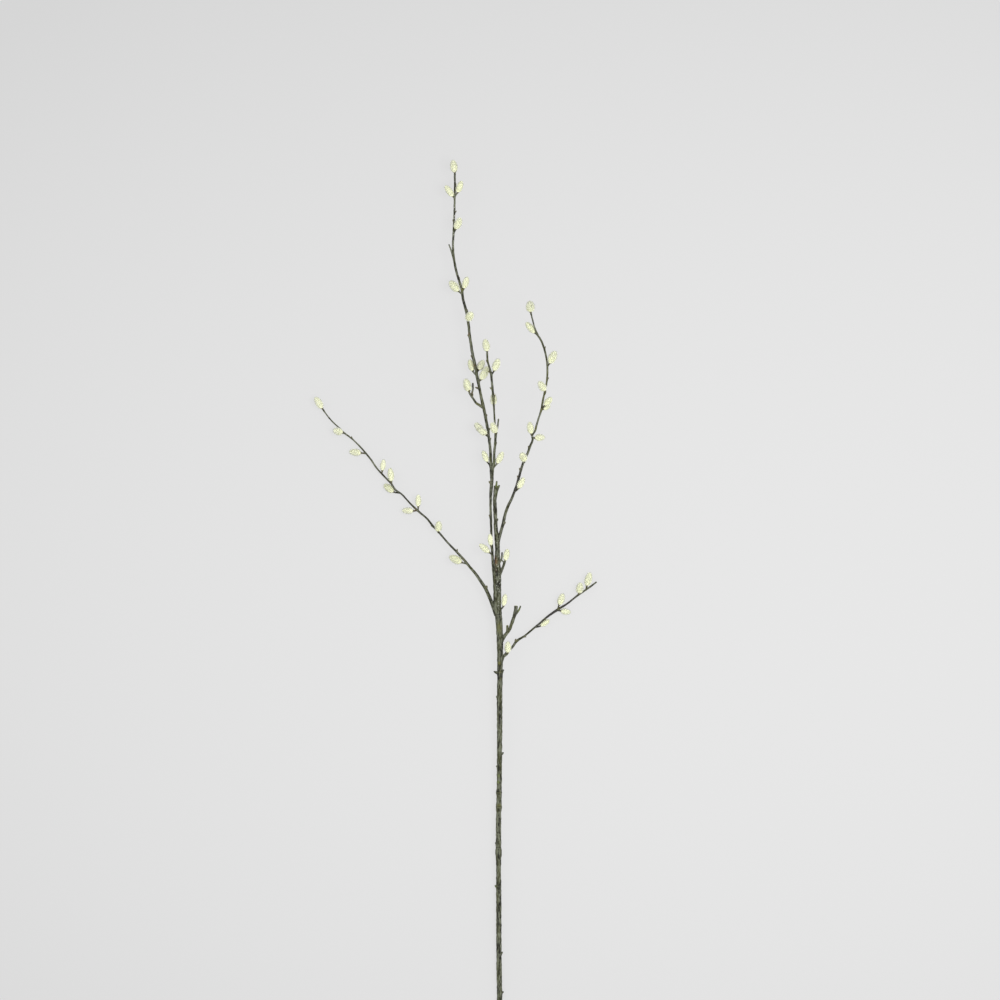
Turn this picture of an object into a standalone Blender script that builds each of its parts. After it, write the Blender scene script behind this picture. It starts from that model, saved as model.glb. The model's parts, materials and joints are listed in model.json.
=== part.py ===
"""A cut willow twig in catkin, lying on a table.

The stem lies along +Y from its cut butt end, the leader points to +Y, and the table is z = 0.
Every list below is in millimetres from the butt end: x across, y along the stem, z above the table.
The wood grew as one piece and is one solid. Each catkin is a head of its own in a bud-scale cup.
"""

import math

import bmesh
import bpy
from mathutils import Vector

MM = 0.001
TWIG = "willow_twig"
WOOD = "wood"

# The lists start at the butt end. The finished twig stands with the middle of its box over the origin.
MIDDLE_X = -55.9
MIDDLE_Y = 550.0

# Shoots from root to tip, as x, y, z and radius. Each root is sunk in the wood that it grows from.
MAIN_STEM = (
    (0.0, 0.0, 3.0, 3.35),
    (-0.2, 32.0, 3.0, 3.3),
    (-1.2, 100.0, 6.0, 3.2),
    (-1.6, 187.0, 9.7, 3.2),
    (-1.8, 212.0, 10.7, 2.95),
    (-1.8, 226.0, 11.3, 3.3),
    (-1.8, 232.0, 11.6, 4.2),
    (-1.8, 239.0, 11.9, 3.3),
    (-1.6, 284.0, 13.8, 3.1),
    (-1.4, 291.0, 14.1, 3.8),
    (-1.3, 298.0, 14.4, 3.2),
    (-1.2, 305.5, 14.7, 3.2),
    (-1.2, 309.0, 14.9, 3.65),
    (-1.1, 313.0, 15.0, 3.1),
    (-0.6, 350.0, 16.6, 3.1),
    (-0.4, 395.0, 18.4, 3.3),
    (-0.4, 437.0, 20.2, 3.35),
    (0.0, 456.0, 21.0, 3.3),
    (0.0, 460.0, 21.2, 3.7),
    (0.0, 464.0, 21.4, 3.35),
    (0.0, 494.0, 22.6, 3.85),
    (-0.9, 516.0, 23.5, 4.1),
    (-1.9, 530.0, 24.0, 4.35),
    (-3.1, 542.0, 24.6, 4.7),
    (-3.5, 567.0, 25.6, 5.0),
    (-3.7, 583.0, 26.2, 4.9),
    (-3.4, 600.0, 27.0, 3.6),
    (-3.2, 612.0, 27.5, 2.95),
    (-3.6, 625.0, 28.0, 3.1),
    (-5.1, 637.0, 28.6, 2.4),
    (-5.6, 650.0, 29.0, 2.15),
    (-6.1, 662.0, 29.6, 2.3),
    (-6.5, 675.0, 30.0, 2.15),
    (-5.4, 686.0, 30.7, 2.6),
    (-4.6, 692.5, 31.0, 2.9),
)
LEADER = (
    (-4.5, 560.0, 25.5, 2.2),
    (-7.0, 580.0, 27.0, 1.9),
    (-9.0, 597.0, 28.5, 1.6),
    (-9.6, 610.0, 29.5, 1.5),
    (-10.5, 625.0, 30.5, 1.4),
    (-11.0, 642.0, 31.5, 1.45),
    (-11.5, 655.0, 32.0, 1.5),
    (-11.8, 668.0, 32.5, 1.5),
    (-11.6, 680.0, 33.0, 1.8),
    (-10.9, 690.0, 33.5, 2.1),
    (-10.2, 699.0, 34.0, 2.1),
    (-10.7, 710.0, 34.3, 2.2),
    (-11.6, 725.0, 34.6, 1.9),
    (-12.0, 737.0, 34.8, 1.7),
    (-13.6, 750.0, 35.0, 1.65),
    (-14.9, 761.0, 35.0, 1.75),
    (-17.5, 775.0, 35.0, 1.8),
    (-20.5, 790.5, 35.0, 1.85),
    (-23.4, 803.0, 35.0, 1.7),
    (-26.0, 816.0, 35.0, 1.6),
    (-27.8, 825.0, 34.5, 1.9),
    (-31.0, 843.0, 34.0, 1.8),
    (-34.0, 856.0, 33.5, 1.8),
    (-37.1, 875.0, 32.5, 1.6),
    (-39.4, 895.0, 31.5, 1.55),
    (-42.2, 911.5, 30.5, 1.65),
    (-46.0, 925.0, 30.0, 1.6),
    (-48.0, 939.0, 29.5, 1.6),
    (-52.1, 952.0, 29.0, 1.4),
    (-56.0, 967.0, 28.5, 1.45),
    (-57.8, 978.0, 28.3, 1.4),
    (-58.7, 990.0, 28.1, 1.3),
    (-57.9, 1012.0, 28.0, 1.35),
    (-57.4, 1027.0, 28.0, 1.1),
    (-56.9, 1040.0, 28.0, 1.15),
    (-56.6, 1055.0, 28.2, 1.2),
    (-56.4, 1070.0, 28.5, 1.15),
    (-56.5, 1083.0, 29.0, 1.15),
)
CENTRE_SHOOT = (
    (-10.0, 705.0, 34.3, 1.6),
    (-8.9, 715.0, 36.0, 1.5),
    (-7.2, 722.0, 37.5, 1.75),
    (-7.3, 731.0, 39.0, 1.55),
    (-6.1, 745.0, 41.5, 1.5),
    (-5.5, 757.0, 43.5, 1.6),
    (-6.6, 773.0, 46.0, 1.15),
    (-7.4, 787.0, 48.0, 1.1),
    (-8.0, 800.0, 50.0, 1.4),
    (-9.2, 812.0, 51.5, 1.45),
    (-10.3, 824.0, 53.0, 1.4),
    (-11.2, 833.0, 54.0, 1.6),
    (-13.4, 841.0, 55.0, 1.15),
    (-15.5, 849.0, 56.0, 1.15),
    (-16.0, 859.0, 57.3, 1.1),
)
RIGHT_SHOOT = (
    (-3.4, 616.0, 27.8, 1.7),
    (-1.1, 628.0, 29.0, 1.85),
    (1.5, 637.0, 31.0, 1.85),
    (4.0, 646.0, 33.0, 1.9),
    (5.9, 655.0, 35.0, 1.85),
    (9.5, 666.0, 37.5, 1.8),
    (14.2, 676.0, 40.0, 1.65),
    (20.1, 691.5, 44.0, 1.55),
    (23.7, 703.5, 47.0, 1.6),
    (26.4, 713.5, 49.5, 1.5),
    (29.5, 723.0, 52.0, 1.45),
    (34.1, 732.5, 54.5, 1.4),
    (37.7, 742.5, 57.0, 1.5),
    (40.7, 750.5, 58.5, 1.2),
    (40.6, 756.0, 59.5, 1.0),
    (43.5, 760.5, 60.5, 1.2),
    (45.6, 768.5, 62.0, 1.25),
    (48.7, 778.5, 64.0, 1.1),
    (51.4, 787.0, 66.0, 1.3),
    (53.1, 797.5, 68.0, 1.2),
    (55.4, 808.5, 70.0, 1.1),
    (57.9, 820.0, 72.0, 1.1),
    (59.0, 832.0, 74.0, 1.25),
    (58.9, 843.0, 76.0, 1.15),
    (57.4, 854.0, 77.5, 1.15),
    (55.2, 863.0, 79.0, 1.15),
    (51.7, 872.5, 80.5, 1.15),
    (46.2, 882.0, 82.0, 1.3),
    (42.7, 891.0, 83.0, 0.9),
    (40.4, 900.0, 84.0, 0.85),
    (38.4, 907.5, 85.0, 0.95),
)
LEFT_SHOOT = (
    (-4.5, 531.0, 24.0, 2.3),
    (-7.8, 540.0, 24.0, 2.3),
    (-12.5, 552.0, 23.5, 2.2),
    (-18.9, 565.5, 22.5, 2.1),
    (-24.8, 574.5, 21.5, 1.9),
    (-31.1, 583.5, 20.5, 1.75),
    (-37.5, 591.0, 19.5, 1.6),
    (-45.3, 600.5, 18.5, 1.5),
    (-55.6, 611.5, 17.0, 1.35),
    (-65.3, 621.5, 15.8, 1.15),
    (-74.8, 632.5, 14.5, 1.15),
    (-84.4, 643.0, 13.2, 1.3),
    (-90.8, 651.0, 12.4, 1.15),
    (-98.8, 658.0, 11.5, 1.2),
    (-105.1, 663.5, 10.8, 1.3),
    (-114.6, 673.0, 9.9, 1.05),
    (-123.4, 682.5, 9.2, 1.05),
    (-130.6, 687.5, 8.7, 1.2),
    (-136.3, 695.5, 8.2, 1.1),
    (-145.4, 705.0, 7.6, 1.1),
    (-154.4, 715.0, 7.2, 1.0),
    (-161.5, 725.5, 6.9, 1.05),
    (-167.9, 733.5, 6.8, 1.1),
    (-178.3, 745.0, 6.8, 0.9),
    (-186.3, 752.5, 7.0, 0.9),
    (-195.0, 759.0, 7.4, 0.95),
    (-202.1, 766.0, 8.0, 0.85),
    (-210.1, 773.5, 9.0, 0.8),
    (-216.5, 781.0, 10.2, 0.8),
    (-221.8, 788.5, 11.5, 0.85),
)
LOW_SHOOT = (
    (1.0, 470.0, 21.6, 1.7),
    (3.1, 476.5, 21.2, 1.6),
    (7.5, 483.5, 20.2, 1.25),
    (13.8, 489.0, 19.0, 1.3),
    (21.0, 498.5, 16.8, 1.6),
    (31.5, 505.5, 14.8, 1.15),
    (41.1, 513.5, 12.8, 1.15),
    (49.6, 520.5, 11.0, 1.2),
    (56.4, 526.5, 9.9, 1.25),
    (72.6, 538.0, 7.6, 1.6),
    (83.1, 544.5, 6.9, 1.1),
    (92.8, 552.0, 6.4, 1.05),
    (98.5, 556.5, 6.3, 1.25),
    (105.1, 561.0, 6.5, 1.2),
    (113.0, 566.5, 7.2, 0.95),
    (120.5, 572.0, 8.0, 0.7),
)
SPUR = (
    (-20.3, 790.0, 35.0, 1.4),
    (-24.8, 793.0, 36.0, 1.45),
    (-29.1, 795.6, 37.0, 1.5),
    (-33.4, 801.4, 38.5, 1.3),
    (-37.0, 806.6, 40.0, 1.2),
    (-38.4, 809.0, 40.8, 1.05),
)
MAIN_FORK = (
    (-2.2, 578.0, 27.0, 2.0),
    (1.0, 585.0, 28.5, 1.7),
    (4.0, 592.0, 30.5, 1.6),
    (6.0, 597.6, 32.3, 1.45),
)
BROKEN_STUB = (
    (0.5, 496.0, 22.6, 2.3),
    (3.8, 502.0, 23.5, 2.1),
    (8.0, 508.0, 25.0, 2.0),
    (11.4, 512.5, 26.0, 1.95),
    (14.4, 520.0, 27.5, 1.95),
    (17.1, 528.0, 29.0, 2.0),
    (19.2, 535.0, 30.5, 2.3),
    (20.0, 542.5, 32.0, 2.15),
)

# Short prongs without catkins: snags, cut tips and thin bits of side wood.
PRONGS = (
    ((-5.4, 684.0, 30.4, 1.5), (-4.7, 692.0, 31.6, 1.3), (-4.0, 698.5, 32.6, 1.0)),
    ((-5.6, 682.0, 30.3, 1.6), (-2.8, 689.0, 30.8, 1.5), (-0.9, 693.5, 31.2, 1.1)),
    ((-57.4, 974.0, 28.3, 1.2), (-60.2, 984.5, 29.0, 1.05), (-63.8, 994.5, 30.0, 0.8)),
    ((-5.2, 755.0, 43.3, 1.2), (-2.9, 767.0, 45.3, 1.0), (-1.9, 776.0, 47.0, 0.95)),
    ((-36.0, 805.0, 39.6, 1.0), (-34.2, 813.0, 42.0, 0.95), (-34.0, 821.0, 44.5, 0.75)),
    ((-1.6, 595.0, 28.4, 1.4), (2.0, 602.0, 31.0, 1.1), (2.6, 609.5, 32.0, 0.9)),
    ((1.4, 600.8, 30.6, 0.9), (5.4, 596.4, 31.8, 0.9)),
    ((18.8, 531.0, 29.9, 1.3), (23.3, 537.0, 31.5, 1.15), (25.8, 542.5, 33.0, 0.85)),
    ((6.6, 504.5, 24.4, 1.3), (9.0, 510.5, 26.6, 1.3), (9.4, 517.5, 29.0, 1.25)),
)

# Resting buds and leaf scars, as the x and y of each tip. Each grows from the nearest wood.
BUD_TIPS = (
    (-54.6, 1070.5),
    (-54.2, 1036.5),
    (-59.2, 1025.5),
    (-50.8, 953.5),
    (-41.2, 913.5),
    (-40.6, 881.5),
    (-36.4, 855.5),
    (-29.4, 816.0),
    (-16.4, 782.0),
    (-12.6, 765.0),
    (-11.4, 752.5),
    (-14.0, 698.5),
    (-13.8, 656.5),
    (-17.2, 849.5),
    (-14.9, 836.0),
    (-12.8, 815.5),
    (-6.0, 806.0),
    (-4.2, 747.0),
    (-31.4, 815.8),
    (-33.4, 808.0),
    (56.8, 866.5),
    (60.9, 827.5),
    (35.4, 742.5),
    (24.2, 715.0),
    (21.6, 705.5),
    (6.9, 647.5),
    (-86.4, 643.0),
    (-53.4, 614.0),
    (-16.4, 568.0),
    (-186.0, 755.0),
    (-8.0, 460.5),
    (4.9, 462.5),
    (-4.6, 429.5),
    (4.5, 359.0),
    (-4.5, 342.5),
    (-5.7, 246.5),
    (-6.4, 192.5),
    (3.3, 109.0),
    (4.4, 59.5),
    (-2.6, 651.5),
    (19.8, 501.5),
    (33.0, 503.6),
)

# Catkins: x, y and z of the foot, heading from +X and pitch in degrees, then length and width.
CATKINS = {
    "leader": (
        (-56.5, 1084.3, 29.2, 99, 3, 15.6, 8.6),
        (-58.7, 1054.6, 28.6, 126, 8, 16.6, 7.6),
        (-53.2, 1059.3, 29.0, 69, 12, 15.4, 7.6),
        (-55.5, 1013.5, 30.4, 66, 12, 15.6, 8.8),
        (-51.7, 936.0, 29.8, 132, 6, 16.6, 9.8),
        (-45.2, 939.3, 30.4, 73, 10, 15.4, 7.6),
        (-40.3, 900.2, 34.2, 60, 50, 15.0, 9.6),
        (-33.9, 836.2, 29.4, 106, -8, 15.0, 7.8),
        (-26.9, 837.6, 31.0, 62, -8, 13.5, 8.4),
        (-24.4, 825.2, 36.0, 59, 3, 19.4, 9.2),
        (-21.2, 759.3, 31.6, 130, -2, 15.4, 8.4),
        (-16.6, 757.4, 38.0, 150, 22, 12.5, 8.0),
        (-15.5, 722.5, 34.6, 113, 4, 15.2, 7.0),
        (-11.3, 617.8, 33.7, 96, 14, 15.2, 6.4),
        (-13.2, 609.4, 29.6, 140, 5, 16.2, 7.6),
    ),
    "spur": ((-38.6, 810.6, 41.2, 106, 8, 16.4, 9.4),),
    "centre": (
        (-16.1, 860.3, 57.5, 99, 4, 15.6, 8.6),
        (-7.6, 836.2, 55.4, 68, 10, 16.2, 8.8),
        (-7.9, 793.6, 44.6, 91, -10, 14.6, 7.8),
        (-5.4, 758.6, 48.1, 110, 26, 15.0, 8.8),
        (-3.7, 720.6, 38.0, 63, 6, 16.4, 7.6),
    ),
    "right": (
        (38.2, 908.8, 85.2, 94, 4, 13.6, 10.2),
        (43.8, 883.0, 79.7, 131, -4, 17.4, 7.8),
        (61.6, 845.2, 76.8, 63, 8, 17.0, 9.6),
        (56.4, 810.8, 74.2, 124, 20, 15.0, 8.6),
        (55.5, 792.7, 69.6, 48, 14, 13.6, 7.8),
        (53.7, 788.3, 64.0, 26, -12, 10.0, 5.6),
        (39.0, 757.4, 60.5, 98, 8, 15.2, 8.2),
        (43.2, 752.6, 58.6, 3, 4, 12.6, 8.0),
        (31.0, 723.8, 56.0, 114, 44, 14.0, 8.8),
        (22.6, 689.2, 47.4, 62, 14, 16.0, 7.4),
    ),
    "left": (
        (-222.4, 789.6, 11.7, 122, 4, 16.8, 8.4),
        (-197.2, 759.2, 10.3, 163, 24, 12.6, 8.8),
        (-173.8, 733.8, 4.7, 173, -4, 14.8, 8.2),
        (-147.4, 711.6, 9.2, 82, 10, 14.4, 6.6),
        (-136.0, 698.4, 10.2, 95, 10, 16.8, 7.8),
        (-133.1, 685.2, 6.0, 143, -5, 15.2, 8.6),
        (-102.4, 666.6, 12.6, 89, 8, 15.2, 7.0),
        (-108.4, 661.4, 9.4, 178, -6, 14.2, 7.6),
        (-77.6, 635.6, 16.8, 84, 30, 14.4, 8.4),
        (-47.8, 596.9, 17.6, 154, -4, 17.0, 9.4),
    ),
    "fork": ((6.5, 599.2, 32.9, 78, 10, 15.0, 7.4),),
    "stem": ((4.2, 542.4, 26.2, 80, 8, 15.4, 6.8),),
    "low": (
        (9.8, 483.8, 24.0, 90, 20, 15.0, 8.0),
        (50.6, 517.4, 6.4, 34, -3, 13.4, 6.6),
        (74.0, 543.6, 10.4, 70, 8, 15.2, 8.2),
        (76.0, 536.2, 3.9, -9, -6, 12.6, 7.2),
        (98.9, 558.0, 9.2, 82, 14, 13.8, 8.6),
        (108.6, 567.4, 9.0, 76, 6, 17.4, 8.6),
    ),
}
SHOOT_OF = {
    "leader": LEADER,
    "spur": SPUR,
    "centre": CENTRE_SHOOT,
    "right": RIGHT_SHOOT,
    "left": LEFT_SHOOT,
    "fork": MAIN_FORK,
    "stem": MAIN_STEM,
    "low": LOW_SHOOT,
}

MAIN_SIDES = 8
SHOOT_SIDES = 6
FEWEST_SIDES = 4
WELD = 0.005
FLAT_SIDE_DOWN = math.pi / MAIN_SIDES

# A catkin's stalk leaves the shoot's centre line and widens into the bud-scale cup under the catkin.
STALK_BACK = 3.0
STALK_RADIUS = 0.85
NECK_BACK = 1.5
NECK_RADIUS = 0.95
CUP_BACK = 0.9
CUP_SHARE = 0.4
CUP_RIM_SHARE = 0.5
SEAT_GAP = 0.3

# Scales on a catkin stand out in a staggered pattern of this depth, on this many sides and rings.
CATKIN_SIDES = 10
CATKIN_RINGS = 9
SCALE_RELIEF = 0.09
TIP_NARROWING = 0.16

BUD_ROOT_SHARE = 0.7
BUD_MIDDLE = 0.55
BUD_MIDDLE_SHARE = 0.6
BUD_TIP_RADIUS = 0.3
BUD_MOST_RADIUS = 1.3
BUD_START_BACK = 2.0

BARK_COLOUR = (0.09, 0.085, 0.05, 1.0)
BARK_ROUGHNESS = 0.8
CATKIN_COLOUR = (0.82, 0.85, 0.55, 1.0)
CATKIN_ROUGHNESS = 0.95


def clear_scene():
    for obj in list(bpy.data.objects):
        bpy.data.objects.remove(obj, do_unlink=True)


def new_collection(name):
    made = bpy.data.collections.new(name)
    bpy.context.scene.collection.children.link(made)
    return made


def surface(name, colour, roughness):
    """One plain material of its own for a sub-part."""
    made = bpy.data.materials.new(name)
    made.use_nodes = True
    shader = made.node_tree.nodes["Principled BSDF"]
    shader.inputs["Base Color"].default_value = colour
    shader.inputs["Roughness"].default_value = roughness
    shader.inputs["Metallic"].default_value = 0.0
    return made


def tube(name, route, sides, collection, tilt=0.0):
    """A closed tube along x, y, z and radius rows, as a mesh whose caps are welded on."""
    curve = bpy.data.curves.new(name, "CURVE")
    curve.dimensions = "3D"
    curve.twist_mode = "Z_UP"
    curve.bevel_depth = MM
    curve.bevel_resolution = (sides - FEWEST_SIDES) // 2
    curve.use_fill_caps = True
    spline = curve.splines.new("POLY")
    spline.points.add(len(route) - 1)
    for point, (x, y, z, radius) in zip(spline.points, route):
        point.co = (x * MM, y * MM, z * MM, 1.0)
        point.radius = radius
        point.tilt = tilt
    drawn = bpy.data.objects.new(name + "_curve", curve)
    collection.objects.link(drawn)
    bpy.context.view_layer.update()
    graph = bpy.context.evaluated_depsgraph_get()
    mesh = bpy.data.meshes.new_from_object(drawn.evaluated_get(graph))
    shape = bmesh.new()
    shape.from_mesh(mesh)
    bmesh.ops.remove_doubles(shape, verts=shape.verts, dist=WELD * MM)
    bmesh.ops.recalc_face_normals(shape, faces=shape.faces)
    shape.to_mesh(mesh)
    shape.free()
    solid = bpy.data.objects.new(name, mesh)
    solid.matrix_world = drawn.matrix_world
    collection.objects.link(solid)
    bpy.data.objects.remove(drawn, do_unlink=True)
    bpy.data.curves.remove(curve)
    return solid


def nearest_on(route, point, flat=False):
    """The place on a route's centre line nearest to a point, with its radius, seen from above if flat."""
    best = None
    for start, end in zip(route, route[1:]):
        a = Vector(start[:3])
        b = Vector(end[:3])
        span = b - a
        reach = point - a
        if flat:
            share = (span.xy.dot(reach.xy)) / span.xy.length_squared
        else:
            share = span.dot(reach) / span.length_squared
        share = min(max(share, 0.0), 1.0)
        place = a + span * share
        gap = (place - point).xy.length if flat else (place - point).length
        if best is None or gap < best[0]:
            best = (gap, place, start[3] + (end[3] - start[3]) * share, span.normalized())
    return best


def pointing(heading, pitch):
    """Unit vector for a heading from +X and a pitch above the table, both in degrees."""
    turn = math.radians(heading)
    rise = math.radians(pitch)
    return Vector((math.cos(rise) * math.cos(turn), math.cos(rise) * math.sin(turn), math.sin(rise)))


def stalk(name, shoot, row, collection):
    """The stalk and bud-scale cup of one catkin, sunk to the shoot's centre line."""
    foot = Vector(row[:3])
    way = pointing(row[3], row[4])
    half_width = row[6] / 2
    root = nearest_on(shoot, foot - way * STALK_BACK)[1]
    neck = foot - way * NECK_BACK
    cup = foot - way * CUP_BACK
    route = (
        (*root, STALK_RADIUS),
        (*neck, NECK_RADIUS),
        (*cup, half_width * CUP_SHARE),
        (*foot, half_width * CUP_RIM_SHARE),
    )
    return tube(name, route, SHOOT_SIDES, collection)


def bud(name, tip, routes, collection):
    """A small pointed bud from the centre line of the nearest wood out to its tip."""
    aim = Vector((tip[0], tip[1], 0.0))
    found = min((nearest_on(route, aim, flat=True) for route in routes), key=lambda near: near[0])
    _, place, radius, along = found
    root = place - along * BUD_START_BACK
    end = Vector((tip[0], tip[1], place.z))
    middle = root.lerp(end, BUD_MIDDLE)
    thick = min(radius * BUD_ROOT_SHARE, BUD_MOST_RADIUS)
    route = (
        (*root, thick),
        (*middle, thick * BUD_MIDDLE_SHARE + BUD_TIP_RADIUS),
        (*end, BUD_TIP_RADIUS),
    )
    return tube(name, route, SHOOT_SIDES, collection)


def rest_flat(mesh):
    """Points that would reach under the table are set on it, which leaves a small flat spot."""
    for vertex in mesh.vertices:
        vertex.co.z = max(vertex.co.z, 0.0)


def join_wood(stem, pieces):
    """One Boolean union makes the stem and all that grows from it one body."""
    joined = stem.modifiers.new("grown together", "BOOLEAN")
    joined.operation = "UNION"
    joined.solver = "MANIFOLD"
    joined.operand_type = "COLLECTION"
    joined.collection = pieces
    bpy.context.view_layer.update()
    graph = bpy.context.evaluated_depsgraph_get()
    mesh = bpy.data.meshes.new_from_object(stem.evaluated_get(graph))
    stem.modifiers.clear()
    stem.data = mesh
    for obj in list(pieces.objects):
        bpy.data.objects.remove(obj, do_unlink=True)
    bpy.data.collections.remove(pieces)


def wood(collection, material):
    """Stem, side shoots, prongs, buds, stalks and cups: all the wood, grown as one piece."""
    stem = tube(WOOD, MAIN_STEM, MAIN_SIDES, collection, tilt=FLAT_SIDE_DOWN)
    pieces = new_collection("wood_pieces")
    shoots = (LEADER, CENTRE_SHOOT, RIGHT_SHOOT, LEFT_SHOOT, LOW_SHOOT, SPUR, MAIN_FORK, BROKEN_STUB)
    for number, route in enumerate(shoots + PRONGS):
        tube(f"shoot_{number}", route, SHOOT_SIDES, pieces)
    for number, tip in enumerate(BUD_TIPS):
        bud(f"bud_{number}", tip, (MAIN_STEM,) + shoots, pieces)
    for shoot, rows in CATKINS.items():
        for number, row in enumerate(rows):
            stalk(f"stalk_{shoot}_{number}", SHOOT_OF[shoot], row, pieces)
    join_wood(stem, pieces)
    rest_flat(stem.data)
    stem.data.shade_smooth()
    stem.data.materials.clear()
    stem.data.materials.append(material)
    return stem


def catkin(name, row, collection, material):
    """One egg-shaped catkin with its scales raised as a staggered relief, in front of its cup."""
    length, width = row[5], row[6]
    way = pointing(row[3], row[4])
    foot = Vector(row[:3]) + way * SEAT_GAP
    turn = way.to_track_quat("Z", "Y")
    shape = bmesh.new()
    bmesh.ops.create_uvsphere(shape, u_segments=CATKIN_SIDES, v_segments=CATKIN_RINGS, radius=1.0)
    for vertex in shape.verts:
        x, y, z = vertex.co
        ring = round(math.acos(max(-1.0, min(1.0, z))) / math.pi * CATKIN_RINGS)
        side = round(math.atan2(y, x) / math.tau * CATKIN_SIDES)
        on_pole = ring in (0, CATKIN_RINGS)
        raised = 0.0 if on_pole else SCALE_RELIEF * (-1) ** (ring + side)
        spread = width / 2 * (1.0 + raised) * (1.0 - TIP_NARROWING * z)
        along = length * (z + 1.0) / 2
        vertex.co = (foot + turn @ Vector((x * spread, y * spread, along))) * MM
    mesh = bpy.data.meshes.new(name)
    shape.to_mesh(mesh)
    shape.free()
    rest_flat(mesh)
    mesh.shade_smooth()
    mesh.materials.append(material)
    made = bpy.data.objects.new(name, mesh)
    collection.objects.link(made)
    return made


def build():
    clear_scene()
    collection = new_collection(TWIG)
    middle = bpy.data.objects.new(TWIG, None)
    middle.location = (-MIDDLE_X * MM, -MIDDLE_Y * MM, 0.0)
    collection.objects.link(middle)
    bark = surface("bark", BARK_COLOUR, BARK_ROUGHNESS)
    made = [wood(collection, bark)]
    for shoot, rows in CATKINS.items():
        for number, row in enumerate(rows, start=1):
            name = f"catkin_{shoot}_{number}"
            down = surface(name, CATKIN_COLOUR, CATKIN_ROUGHNESS)
            made.append(catkin(name, row, collection, down))
    for obj in made:
        obj.parent = middle


build()
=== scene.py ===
# %% [markdown]
# # A willow twig in catkin
# A cut willow twig lies on a pale table and the camera looks straight down on it. The twig has two
# kinds of surface: rough grey-green bark on wood that grew as one piece, and 49 downy catkins.
# The plain solids come from the CAD frame. This lesson puts a finer piece in the place of each.

import json
import math

import bpy
import bmesh
import numpy as np
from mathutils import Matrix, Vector, kdtree, noise

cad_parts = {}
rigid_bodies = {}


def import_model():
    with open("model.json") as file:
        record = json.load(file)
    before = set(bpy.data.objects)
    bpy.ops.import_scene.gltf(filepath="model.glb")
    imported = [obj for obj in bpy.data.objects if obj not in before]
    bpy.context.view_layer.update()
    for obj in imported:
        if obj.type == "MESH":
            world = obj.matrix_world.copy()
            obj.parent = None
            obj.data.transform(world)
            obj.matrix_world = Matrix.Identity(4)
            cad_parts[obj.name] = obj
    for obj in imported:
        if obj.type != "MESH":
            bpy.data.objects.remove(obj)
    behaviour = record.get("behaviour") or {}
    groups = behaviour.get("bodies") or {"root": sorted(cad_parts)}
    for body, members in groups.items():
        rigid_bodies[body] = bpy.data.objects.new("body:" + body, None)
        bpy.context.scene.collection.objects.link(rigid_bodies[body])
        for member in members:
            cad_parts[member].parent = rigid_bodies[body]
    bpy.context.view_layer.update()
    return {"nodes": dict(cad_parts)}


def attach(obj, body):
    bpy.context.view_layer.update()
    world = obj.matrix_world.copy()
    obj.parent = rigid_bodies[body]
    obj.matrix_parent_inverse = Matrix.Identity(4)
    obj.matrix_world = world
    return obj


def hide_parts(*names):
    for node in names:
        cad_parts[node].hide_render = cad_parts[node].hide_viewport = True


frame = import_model()
print("nodes in the frame:", len(frame["nodes"]))

# %% [markdown]
# ## One shared set of measurements
# All lists are in millimetres from the cut butt end: x across, y along the stem, z above the table.
# They are the numbers that made the plain solids, apart from a few radii, so each fine piece lands
# where its solid is. Points could be read off the solids instead, but then a small change there
# would break the lesson. Named lists can be read and changed by hand.

# %% Units and the place of the lists
MM = 0.001
BUTT_PLACE = np.array((55.9, -550.0, 0.0))


def in_metres(points):
    """Points of the lists as metres in the frame."""
    return (np.asarray(points, float) + BUTT_PLACE) * MM


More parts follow.
